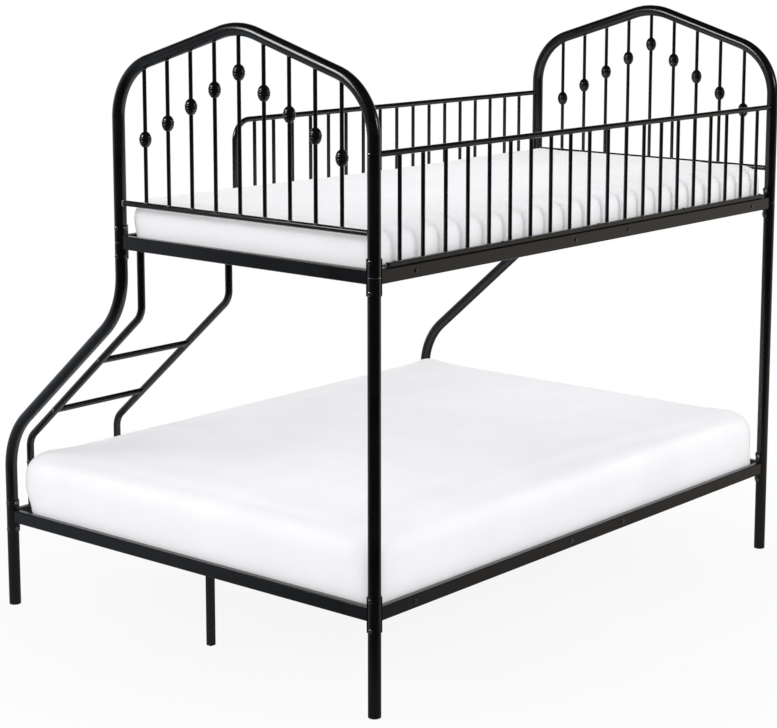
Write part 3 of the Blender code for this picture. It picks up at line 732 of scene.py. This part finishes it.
# %% End rails and side rails
rail_corner_radius, rail_inset = 0.0032, 0.012
for level_name, bottom in rail_bottoms.items():
    middle = bottom + rail_height / 2
    lines = {}
    for end, x in ends.items():
        inner_ys = (wall_y - rail_inset, side_ys[level_name]["front"] + rail_inset)
        lines[f"{end}_end"] = [(x, y, middle) for y in inner_ys]
    for side, y in side_ys[level_name].items():
        lines[f"{side}_side"] = lengthwise(near_x - rail_inset, far_x + rail_inset, y, middle)
    for label, line in lines.items():
        name = f"{level_name}_{label}"
        rail = box_tube(f"{name}_tube", line, rail_thickness, rail_height, rail_corner_radius)
        settle(rail, f"{name}_rail")
print("rail size", [round(v, 4) for v in rail.dimensions])

# %% [markdown]
# ## Saddles
# Each side rail ends in a half-round bracket that hugs the inner half of the post. It is a
# bent strip of steel, so it is built as half a ring of plate, and its edges stand out a
# little on both sides of the post.

# %% Saddle shell
saddle_radius, saddle_thickness, saddle_height, saddle_steps = 0.0205, 0.003, 0.096, 28


def posts_of(level_name):
    """The four posts of a level: name, place, way outwards along the bed, way inwards across it."""
    for (side, y), (end, x) in product(side_ys[level_name].items(), ends.items()):
        yield f"{side}_{end}", x, y, math.copysign(1, x), -math.copysign(1, y)


def saddle_shell(name, axis, facing_angle):
    """A half ring of plate round a post's axis, with a small bevel on every edge."""
    inner, outer = saddle_radius - saddle_thickness, saddle_radius
    low, high = Vector((0, 0, -saddle_height / 2)), Vector((0, 0, saddle_height / 2))
    bm = bmesh.new()
    rings = []
    for i in range(saddle_steps + 1):
        angle = facing_angle - math.pi / 2 + math.pi * i / saddle_steps
        way = Vector((math.cos(angle), math.sin(angle), 0))
        corners = (way * inner + low, way * outer + low, way * outer + high, way * inner + high)
        rings.append([bm.verts.new(axis + corner) for corner in corners])
    for a, b in zip(rings, rings[1:]):
        for i in range(4):
            bm.faces.new((a[i], a[(i + 1) % 4], b[(i + 1) % 4], b[i]))
    bm.faces.new(rings[0][::-1])
    bm.faces.new(rings[-1])
    bmesh.ops.recalc_face_normals(bm, faces=bm.faces)
    return crisp_ends(piece_from(name, bm, [black_coat]), 0.0009, 40)


for level_name, bottom in rail_bottoms.items():
    shells = []
    for post, x, y, outwards, inwards in posts_of(level_name):
        axis = Vector((x, y, bottom + rail_height / 2))
        shells.append(saddle_shell(f"{level_name}_{post}_saddle", axis, math.atan2(inwards, -outwards)))
    settle(merge_pieces(f"{level_name}_saddles", shells))

# %% [markdown]
# ## Bolts
# Domed socket heads sit on the posts over a cone washer that meets the round tube, with a nut
# on the inner side, and on the saddles. Plain ones sit on the side rails and on the guardrail
# feet. A spare hole in each wall post has a plug.

# %% Bolt head
bolt_head_diameter, bolt_head_height, washer_radius = 0.0128, 0.003, 0.0075


def bolt_head(diameter, height, washer):
    """A button head: a dome with a rounded rim, a six-sided socket and, if asked for, a cone washer."""
    radius = diameter / 2
    socket, socket_floor = radius * 0.40, height * 0.35
    profile = [(0, socket_floor), (socket, socket_floor), (socket, height * 0.97), (socket * 1.12, height)]
    for share in (0.55, 0.70, 0.82, 0.92, 0.98):
        profile.append((radius * share, height * (1 - 0.75 * ((share - 0.45) / 0.55) ** 2.2)))
    profile.append((radius, height * 0.12))
    if washer:
        profile.append((radius, height * 0.04))
        profile += [(washer - 0.0004, -0.0009), (washer, -0.0012), (washer, -0.0018)]
    else:
        profile.append((radius, -0.0004))
    profile.append((0, profile[-1][1]))
    head = turned(profile, 28, 38)
    for vert in head.data.vertices:
        if 0 < math.hypot(vert.co.x, vert.co.y) < socket * 1.05:
            angle = math.atan2(vert.co.y, vert.co.x) % (math.pi / 3) - math.pi / 6
            flat = math.cos(math.pi / 6) / math.cos(angle)
            vert.co.x *= flat
            vert.co.y *= flat
    return head


def set_bolts(name, places, diameter=bolt_head_diameter, height=bolt_head_height, washer=0.0):
    """Bolt heads at all the places, as one piece."""
    settle(copies(name, bolt_head(diameter, height, washer), places, bolt_black))
    print(name, len(places))


# %% Bolts through the posts and the saddles
bolt_spacing, nut_seat = 0.079, 0.0195
guard_top_height = 1.465
post_bolts, saddle_bolts, nut_places = [], [], []
for level_name, bottom in rail_bottoms.items():
    middle = bottom + rail_height / 2
    for _, x, y, outwards, inwards in posts_of(level_name):
        for z in (middle - bolt_spacing / 2, middle + bolt_spacing / 2):
            post_bolts.append(((x + outwards * (post_radius + gap), y, z), (outwards, 0, 0)))
            nut_places.append(((x - outwards * nut_seat, y, z), (-outwards, 0, 0)))
            saddle_bolts.append(((x, y + inwards * (saddle_radius + gap), z), (0, inwards, 0)))
for x, y in ((near_x, wall_y), (far_x, wall_y), (far_x, upper_front_y)):
    outwards = math.copysign(1, x)
    post_bolts.append(((x + outwards * (post_radius + gap), y, guard_top_height), (outwards, 0, 0)))
set_bolts("post_bolt_heads", post_bolts, washer=washer_radius)

# %% Plugs in the spare holes of the wall posts
plug_height, plug_sink = 1.037, 0.0004
plug_profile = [(0, 0.0007), (0.0030, 0.0006), (0.0041, 0.0002)]
plug_profile += [(0.0044, -0.0003), (0.0044, -0.0012), (0, -0.0012)]
plug_y = wall_y + post_radius - plug_sink
plug_places = [((x, plug_y, plug_height), (0, 1, 0)) for x in ends.values()]
settle(copies("post_plugs", turned(plug_profile, 24), plug_places, glide_plastic))
print("plugs", len(plug_places))

# %% Nuts on the inner sides
nut_radius, nut_height = 0.006, 0.0035


def nut_shape():
    """A six-sided nut with a chamfered face, on a round bolt end."""
    bolt_end = nut_height + 0.0010
    profile = [(0, bolt_end), (0.0030, bolt_end), (0.0036, nut_height + 0.0005), (0.0036, nut_height)]
    profile += [(nut_radius * 0.86, nut_height), (nut_radius, nut_height * 0.8), (nut_radius, 0), (0, 0)]
    return turned(profile, 6, 25)


settle(copies("post_nuts", nut_shape(), nut_places, bolt_black))
print("nuts", len(nut_places))

# %% Bolts on the side rails and the saddles
panel_bolts_x = {"near": (0.822, 0.117), "far": (-0.147, -0.852)}
rail_bolts = []
for level_name, bottom in rail_bottoms.items():
    for y in side_ys[level_name].values():
        outwards = math.copysign(1, y)
        face_y = y + outwards * (rail_thickness / 2 + gap)
        for x in (*panel_bolts_x["near"], *panel_bolts_x["far"]):
            rail_bolts.append(((x, face_y, bottom + rail_height / 2), (0, outwards, 0)))
set_bolts("rail_bolt_heads", rail_bolts, 0.013)
set_bolts("saddle_bolt_heads", saddle_bolts, washer=washer_radius)

# %% [markdown]
# ## Guardrails
# A guardrail is a round top tube, a row of thin bars and a square bar that sits on the
# side rail. The bars stand in an even row, so a tree makes them from a count and a pitch.
# The front guardrail ends in a bend and leaves a gap for the ladder. The square bars are open
# tube, and a rod reaches from each open end to the post.

# %% Guardrail sizes
guard_tube_diameter, guard_bar_diameter = 0.016, 0.011
guard_foot_size, guard_foot_corner = 0.0127, 0.0018
guard_foot_bottom = rail_tops["upper"] + gap
guard_foot_middle = guard_foot_bottom + guard_foot_size / 2
guard_foot_top = guard_foot_bottom + guard_foot_size
guard_bend_radius, guard_tube_inset, guard_foot_inset = 0.060, 0.012, 0.052
near_tip, far_tip = near_x - guard_foot_inset, far_x + guard_foot_inset
front_start_x = near_x - 0.453
guard_bars = {"wall": (20, near_x - 0.0988, 0.0926), "front": (17, near_x - 0.5357, 0.0816)}
guard_paths = {
    "wall": lengthwise(near_x - guard_tube_inset, far_x + guard_tube_inset, wall_y, guard_top_height),
    "front": [
        (front_start_x, upper_front_y, guard_foot_middle),
        (front_start_x, upper_front_y, guard_top_height),
        (far_x + guard_tube_inset, upper_front_y, guard_top_height),
    ],
}
guard_bends = {"wall": None, "front": [0.0, guard_bend_radius, 0.0]}
foot_ends = {"wall": near_tip, "front": front_start_x + guard_foot_size / 2}
open_tips = {"wall": ((-1, far_tip), (1, near_tip)), "front": ((-1, far_tip),)}
rod_diameter, rod_inside, rod_outside = 0.006, 0.012, 0.034
print("guardrail bars", {side: bars[0] for side, bars in guard_bars.items()})


# %% Wall and front guardrails
def open_end(piece, way, wall=0.0014, depth=0.020):
    """Hollows the end of a box tube that faces the given way."""
    bm = bmesh.new()
    bm.from_mesh(piece.data)
    cap = max((f for f in bm.faces if f.normal.dot(way) > 0.99), key=lambda f: f.calc_area())
    bmesh.ops.inset_region(bm, faces=[cap], thickness=wall)
    grown = bmesh.ops.extrude_face_region(bm, geom=[cap])["geom"]
    moved = [part for part in grown if isinstance(part, bmesh.types.BMVert)]
    bmesh.ops.translate(bm, verts=moved, vec=-way * depth)
    bmesh.ops.delete(bm, geom=[cap], context="FACES_ONLY")
    bm.to_mesh(piece.data)
    bm.free()


for side, y in side_ys["upper"].items():
    path, bends = guard_paths[side], guard_bends[side]
    top = bent_tube(f"{side}_guard_top", path, guard_tube_diameter, bends, sides=24)
    foot_line = lengthwise(far_tip, foot_ends[side], y, guard_foot_middle)
    foot = box_tube(f"{side}_guard_foot", foot_line, guard_foot_size, guard_foot_size, guard_foot_corner)
    count, first_x, pitch = guard_bars[side]
    first, rise = (first_x, y, guard_foot_middle), guard_top_height - guard_foot_middle
    bars = upright_bars(f"{side}_guard_bars", count, first, (-pitch, 0.0, 0.0), rise, guard_bar_diameter)
    pieces = [top, foot, bars]
    for way, x in open_tips[side]:
        open_end(foot, Vector((way, 0, 0)))
        line = lengthwise(x - way * rod_inside, x + way * rod_outside, y, guard_foot_middle)
        rod = bent_tube(f"{side}_foot_rod", line, rod_diameter, finish=bolt_black, sides=16, rim=0.0006)
        pieces.append(rod)
    guard = merge_pieces(f"{side}_guard", pieces)
    settle(guard, f"{side}_guardrail")
print("guard faces", len(guard.data.polygons))

# %% Welds and bolts of the guardrails
weld_levels = (
    (guard_foot_top - flat_sink, up),
    (guard_top_height - guard_tube_diameter / 2 + thin_tube_sink, down),
)
for side, y in side_ys["upper"].items():
    count, first_x, pitch = guard_bars[side]
    places = [((first_x - i * pitch, y, z), way) for z, way in weld_levels for i in range(count)]
    settle(copies(f"{side}_guard_welds", weld_ring(guard_bar_diameter, guard_bead), places, weld_coat))
foot_bolts = []
for x in (0.898, 0.446, -0.006, -0.459, -0.910):
    foot_bolts.append(((x, wall_y, guard_foot_top), up))
    if x < front_start_x:
        foot_bolts.append(((x, upper_front_y, guard_foot_top), up))
set_bolts("guard_foot_bolt_heads", foot_bolts, 0.009, 0.0022)

# %% [markdown]
# ## Ladder
# Two bent rails are bolted to the outside of the front side rails, and three rungs are
# bolted between them. The rungs' bolt heads show on the outer sides of the rails.

# %% Ladder rails and rungs
ladder_x = {"near": 0.883, "far": 0.533}
ladder_diameter, rung_diameter, rung_reach = 0.022, 0.018, 0.006
ladder_radius = ladder_diameter / 2
ladder_offset = rail_thickness / 2 + gap + ladder_radius
ladder_top_y, ladder_bottom_y = upper_front_y - ladder_offset, lower_front_y - ladder_offset
bend_top, bend_bottom, ladder_bend_radius = 0.932, 0.494, 0.060
for side, x in ladder_x.items():
    corners = [
        (x, ladder_top_y, rail_tops["upper"]),
        (x, ladder_top_y, bend_top),
        (x, ladder_bottom_y, bend_bottom),
        (x, ladder_bottom_y, rail_bottoms["lower"]),
    ]
    bends = [0, ladder_bend_radius, ladder_bend_radius, 0]
    rail = bent_tube(f"ladder_{side}_tube", corners, ladder_diameter, bends, sides=28, steps=20)
    settle(rail, f"ladder_{side}_rail")
slope = (ladder_top_y - ladder_bottom_y) / (bend_top - bend_bottom)
ladder_bolts = []
for number, z in enumerate((0.776, 0.598, 0.420), 1):
    y = ladder_bottom_y + slope * max(z - bend_bottom, 0)
    line = lengthwise(ladder_x["near"] - rung_reach, ladder_x["far"] + rung_reach, y, z)
    rung = bent_tube(f"ladder_rung_tube_{number}", line, rung_diameter, sides=28)
    settle(rung, f"ladder_rung_{number}")
    ladder_bolts.append(((ladder_x["near"] + ladder_radius, y, z), (1, 0, 0)))
    ladder_bolts.append(((ladder_x["far"] - ladder_radius, y, z), (-1, 0, 0)))
rail_middles = ((ladder_top_y, seam_height), (ladder_bottom_y, rail_bottoms["lower"] + rail_height / 2))
for x, (y, z) in product(ladder_x.values(), rail_middles):
    ladder_bolts.append(((x, y - ladder_radius, z), (0, -1, 0)))
set_bolts("ladder_bolt_heads", ladder_bolts, 0.011, 0.0015)

# %% [markdown]
# ## Slat panels
# Two welded panels lie in each bunk: flat edge bars bolted inside the side rails, with
# nine flat tubes between them. They sit a little below the top of the rails, so that the
# mattress sinks between the rails and can't slide off.

# %% A tree for the slats
slat_inputs = {"Length": "Float", "Width": "Float", "Thickness": "Float", "Corner_Radius": "Float"}
slat_tree, given = new_tree("row_of_slats", **row_inputs, **slat_inputs)
across = add_node(slat_tree, "ShaderNodeCombineXYZ", Y=given["Length"])
line = add_node(slat_tree, "GeometryNodeCurvePrimitiveLine", Start=(0, 0, 0), End=across)
slat = box_sweep(slat_tree, line, given["Width"], given["Thickness"], given["Corner Radius"], 4)
row = row_of_points(slat_tree, given)
slats = add_node(slat_tree, "GeometryNodeInstanceOnPoints", Points=row, Instance=slat)
end_tree(slat_tree, slats, given["Finish"])
print("slat tree nodes", len(slat_tree.nodes))

# %% Slat panels of both bunks
slat_width, slat_thickness, slat_corner_radius, slat_count = 0.030, 0.010, 0.0022, 9
slat_sizes = {"Count": slat_count, "Width": slat_width, "Thickness": slat_thickness}
slat_sizes["Corner_Radius"] = slat_corner_radius
slat_recess, slat_stand_proud = 0.010, 0.001
edge_thickness, edge_height, edge_corner_radius, edge_overhang = 0.008, 0.027, 0.001, 0.043
for level_name, bottom in rail_bottoms.items():
    top = bottom + rail_height - slat_recess
    low_y = side_ys[level_name]["front"] + rail_thickness / 2 + gap
    high_y = wall_y - rail_thickness / 2 - gap
    edge_ys = (low_y + edge_thickness / 2, high_y - edge_thickness / 2)
    for end, bolts_x in panel_bolts_x.items():
        name = f"{level_name}_{end}"
        high_x, low_x = max(bolts_x) + edge_overhang, min(bolts_x) - edge_overhang
        slat_sizes["First"] = (low_x + slat_width / 2, edge_ys[0], top - slat_thickness / 2)
        slat_sizes["Step"] = ((high_x - low_x - slat_width) / (slat_count - 1), 0.0, 0.0)
        slat_sizes["Length"] = high_y - low_y - edge_thickness
        slats = use_tree(f"{name}_slats", bpy.data.meshes.new(name), slat_tree, black_coat, **slat_sizes)
        parts = [crisp_ends(slats, 0.0006)]
        for y in edge_ys:
            line = lengthwise(low_x, high_x, y, top - slat_stand_proud - edge_height / 2)
            edge = box_tube(f"panel_edge_{end}", line, edge_thickness, edge_height, edge_corner_radius)
            parts.append(edge)
        panel = merge_pieces(f"{name}_panel", parts)
        settle(panel, f"{name}_slat_panel")
print("slat panel faces", len(panel.data.polygons))

# %% [markdown]
# ## Beam, legs and glides
# A beam of box tube runs under the lower slats on three square legs. Every foot stands on
# a plastic glide, a shallow cup with a rounded edge.

# %% Beam and legs
beam_width, beam_height, beam_corner_radius = 0.030, 0.018, 0.0028
leg_size, leg_corner_radius, leg_inset = 0.020, 0.0024, 0.118
cup_height, cup_corner_radius = 0.004, 0.0026
beam_top = rail_tops["lower"] - slat_recess - slat_thickness - gap
beam_bottom = beam_top - beam_height
beam_reach = near_x - rail_thickness / 2 - gap
beam_line = lengthwise(-beam_reach, beam_reach, lower_middle_y, beam_top - beam_height / 2)
beam = box_tube("centre_beam_tube", beam_line, beam_width, beam_height, beam_corner_radius)
settle(beam, "centre_beam")
for end, x in {"near": near_x - leg_inset, "middle": 0.0, "far": far_x + leg_inset}.items():
    line = upright(x, lower_middle_y, post_foot, beam_bottom)
    leg = box_tube(f"{end}_leg_tube", line, leg_size, leg_size, leg_corner_radius)
    settle(leg, f"{end}_centre_leg")
    line = upright(x, lower_middle_y, 0.0, cup_height)
    cup = box_tube(f"{end}_leg_cup", line, leg_size, leg_size, cup_corner_radius, glide_plastic, 0.0007)
    settle(cup, f"{end}_leg_glide", slot="glide_plastic")
print("beam length", round(beam.dimensions.x, 4))

# %% Glides under the posts
glide_plug = [(0, 0.0222), (0.0112, 0.0222), (0.0120, 0.0214), (0.0120, 0.0041), (0.0166, 0.0041)]
glide_rim = [(0.0172, 0.0038), (0.0175, 0.0032), (0.0175, 0.0014), (0.0171, 0.0005), (0.0162, 0.0), (0, 0)]
glide_profile = glide_plug + glide_rim
for (end, x), (side, y) in product(ends.items(), (("wall", wall_y), ("flared", lower_front_y))):
    glide = copies(f"{end}_{side}_foot_cup", turned(glide_profile, 40), [((x, y, 0), up)], glide_plastic)
    settle(glide, f"{end}_{side}_glide", slot="glide_plastic")
print("glide height", round(glide.dimensions.z, 4))

# %% [markdown]
# ## Sheet cloth
# Both mattresses wear a white cotton sheet. The weave is fine, so it is a set of wave
# patterns at thread scale in the bump, with a soft sheen and a very faint lilac shade.

# %% Sheet finish
def sheet_finish(name, colour):
    """White cotton: fine crossing threads, soft creases and a cloth sheen."""
    material, tree, shader, place = start_finish(name)
    cloud = add_node(tree, "ShaderNodeTexNoise", Vector=place, Scale=5.0, Detail=3.0)
    tint = cloudy_tint(tree, cloud, colour, (0.25, 0.75), (0.97, 1.02))
    height = 0.0
    for axis in "XYZ":
        threads = add_node(tree, "ShaderNodeTexWave", place, Scale=260.0, Distortion=0.6)
        threads.bands_direction = axis
        height = maths(tree, "ADD", height, threads.outputs["Fac"])
    crease = add_node(tree, "ShaderNodeTexNoise", Vector=place, Scale=11.0, Detail=3.0, Distortion=0.8)
    soft = add_node(tree, "ShaderNodeBump", Height=crease, Strength=0.35, Distance=0.004)
    weave = add_node(tree, "ShaderNodeBump", Height=height, Normal=soft, Strength=0.25, Distance=0.0002)
    feed(tree, shader, Base_Color=tint, Normal=weave, Roughness=0.92, Specular_IOR_Level=0.12)
    feed(tree, shader, Sheen_Weight=0.15, Sheen_Roughness=0.5)
    return material


sheet_cloth = sheet_finish("white_cotton_sheet", (0.90, 0.895, 0.915))
print("sheet finish", sheet_cloth.name)

# %% [markdown]
# ## Mattresses
# A mattress is a padded block that fills its bunk from rail to rail. Its sides go straight down
# behind the rails, its top edge is rounded, and its corners are pulled in at the bottom by the
# fitted sheet. It starts as a fine grid, and a cloth simulation with air pressure inside fills
# it out. The bottom is held because it lies on the slats, and a soft limit bounds every move.

# %% Places on a rounded block
def eased(share):
    share = min(1.0, max(0.0, share))
    return share * share * (3 - 2 * share)


def corner_at(share, corner_radii, front):
    """The radius of the upright corners at a share of the height: below it is wider in front."""
    wall_low, front_low, middle, high = corner_radii
    low = front_low if front else wall_low
    below, above = eased((0.40 - share) / 0.40), eased((share - 0.60) / 0.40)
    return middle + (low - middle) * below + (high - middle) * above


def grid_places(half, pitch, margin=0.006):
    """Even places from side to side, with a narrow first and last step that keeps the edge crisp."""
    inner = half - margin
    count = max(3, round(2 * inner / pitch))
    return [-half] + [inner * (2 * i / count - 1) for i in range(count + 1)] + [half]


def rounded_place(place, half, edge, corner_radius):
    """Moves a place on a block inwards, to round the upright corners and then the edge."""
    inner_x = max(-half.x + corner_radius, min(half.x - corner_radius, place.x))
    inner_y = max(-half.y + corner_radius, min(half.y - corner_radius, place.y))
    inner_z = max(-half.z + edge, min(half.z - edge, place.z))
    flat = Vector((place.x - inner_x, place.y - inner_y))
    if flat.length > 1e-9:
        flat = flat.normalized() * max(abs(flat.x), abs(flat.y))
    x, y, z = inner_x + flat.x, inner_y + flat.y, place.z
    widest = max(edge, corner_radius)
    out_x = max(0.0, abs(x) - (half.x - widest))
    out_y = max(0.0, abs(y) - (half.y - widest))
    out = math.hypot(out_x, out_y)
    side = max(0.0, out - (widest - edge))
    sink = abs(z - inner_z)
    if sink > 0 and side > 0:
        squeeze = max(sink, side) / math.hypot(sink, side)
        pull = side * (1 - squeeze) / out
        x -= math.copysign(out_x * pull, x)
        y -= math.copysign(out_y * pull, y)
        z = inner_z + math.copysign(sink * squeeze, z - inner_z)
    return Vector((x, y, z))


# %% Rounded block
bottom_edge_radius = 0.004


def rounded_block(name, centre, size, top_radius, corner_radii, pitch):
    """A closed block of quads, with its own edge radius above, below and at the corners."""
    half = Vector(size) / 2
    grid = [grid_places(length, pitch) for length in half]
    counts = [len(places) - 1 for places in grid]
    points, index, faces = [], {}, []
    for axis, u, v in ((2, 0, 1), (1, 0, 2), (0, 1, 2)):
        for a, b, end in product(range(counts[u]), range(counts[v]), (0, counts[axis])):
            loop = []
            for step_u, step_v in ((0, 0), (1, 0), (1, 1), (0, 1)):
                key = [end, end, end]
                key[u], key[v] = a + step_u, b + step_v
                if tuple(key) not in index:
                    index[tuple(key)] = len(points)
                    points.append(Vector([places[i] for places, i in zip(grid, key)]))
                loop.append(index[tuple(key)])
            faces.append(loop[::-1] if (end == 0) != (axis == 1) else loop)
    placed = []
    for place in points:
        edge = top_radius if place.z > 0 else bottom_edge_radius
        corner_radius = corner_at((place.z + half.z) / size[2], corner_radii, place.y < 0)
        placed.append(rounded_place(place, half, edge, corner_radius) + Vector(centre))
    mesh = bpy.data.meshes.new(name)
    mesh.from_pydata(placed, [], faces)
    mesh.materials.append(sheet_cloth)
    return add_object(name, mesh)


# %% Fill a block by cloth simulation
cloth_frames, cloth_pressure, cloth_stiffness = 20, 3.0, 25
side_swell, top_swell = 0.002, 0.006


def limited(move, most):
    """A move that grows freely while it is small and levels off at the most it may be."""
    return most * math.tanh(move / most)


def fill_out(block, floor_z):
    """Pins the bottom, inflates the rest and limits how far any point moves sideways and up."""
    rest = [vert.co.copy() for vert in block.data.vertices]
    pins = block.vertex_groups.new(name="held")
    pins.add([i for i, place in enumerate(rest) if place.z < floor_z + 0.004], 1.0, "REPLACE")
    cloth = block.modifiers.new("Cloth", "CLOTH")
    settings = cloth.settings
    settings.vertex_group_mass = "held"
    settings.use_pressure = True
    settings.uniform_pressure_force = cloth_pressure
    settings.effector_weights.gravity = 0
    settings.quality = 5
    settings.tension_stiffness = cloth_stiffness
    settings.compression_stiffness = cloth_stiffness
    settings.bending_stiffness = 2.0
    settings.shrink_min = -0.006
    cloth.point_cache.frame_start = 1
    cloth.point_cache.frame_end = cloth_frames
    scene = bpy.context.scene
    for number in range(1, cloth_frames + 1):
        scene.frame_set(number)
    evaluated = block.evaluated_get(bpy.context.evaluated_depsgraph_get())
    steps = [vert.co - start for vert, start in zip(evaluated.data.vertices, rest)]
    block.modifiers.clear()
    scene.frame_set(1)
    for vert, start, step in zip(block.data.vertices, rest, steps):
        moves = (limited(step.x, side_swell), limited(step.y, side_swell), limited(step.z, top_swell))
        vert.co = start + Vector(moves)
    block.vertex_groups.clear()
    print("filled", block.name, "furthest move", round(max(step.length for step in steps), 4))


def smooth_cover(piece):
    """One level of subdivision, applied."""
    soft = piece.modifiers.new("Soft", "SUBSURF")
    soft.levels = 1
    soft.render_levels = 1
    apply_modifiers(piece)
    piece.data.shade_smooth()


# %% Upper and lower mattress
mattresses = {
    "upper": ((1.913, 0.909), upper_middle_y, (1.1653, 1.2793), 0.038, (0.030, 0.045, 0.024, 0.040)),
    "lower": ((1.926, 1.416), lower_middle_y, (0.2853, 0.4713), 0.046, (0.046, 0.090, 0.046, 0.075)),
}
pitch = 0.020
for level_name, (plan, y, (bottom, top), top_radius, corner_radii) in mattresses.items():
    size = (plan[0] - 2 * side_swell, plan[1] - 2 * side_swell, top - top_swell - bottom)
    centre = (0.0, y, bottom + size[2] / 2)
    pad = rounded_block(f"{level_name}_sheeted_pad", centre, size, top_radius, corner_radii, pitch)
    fill_out(pad, bottom)
    smooth_cover(pad)
    settle(pad, f"{level_name}_mattress", body=f"{level_name}_mattress", slot="sheet_cloth")
    cad_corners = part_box(f"{level_name}_mattress")
    print(level_name, "CAD", [round(v, 4) for corner in cad_corners for v in corner])
    corners = [pad.matrix_world @ Vector(corner) for corner in pad.bound_box]
    box = [[round(pick(places), 4) for places in zip(*corners)] for pick in (min, max)]
    print(level_name, "pad", *box)
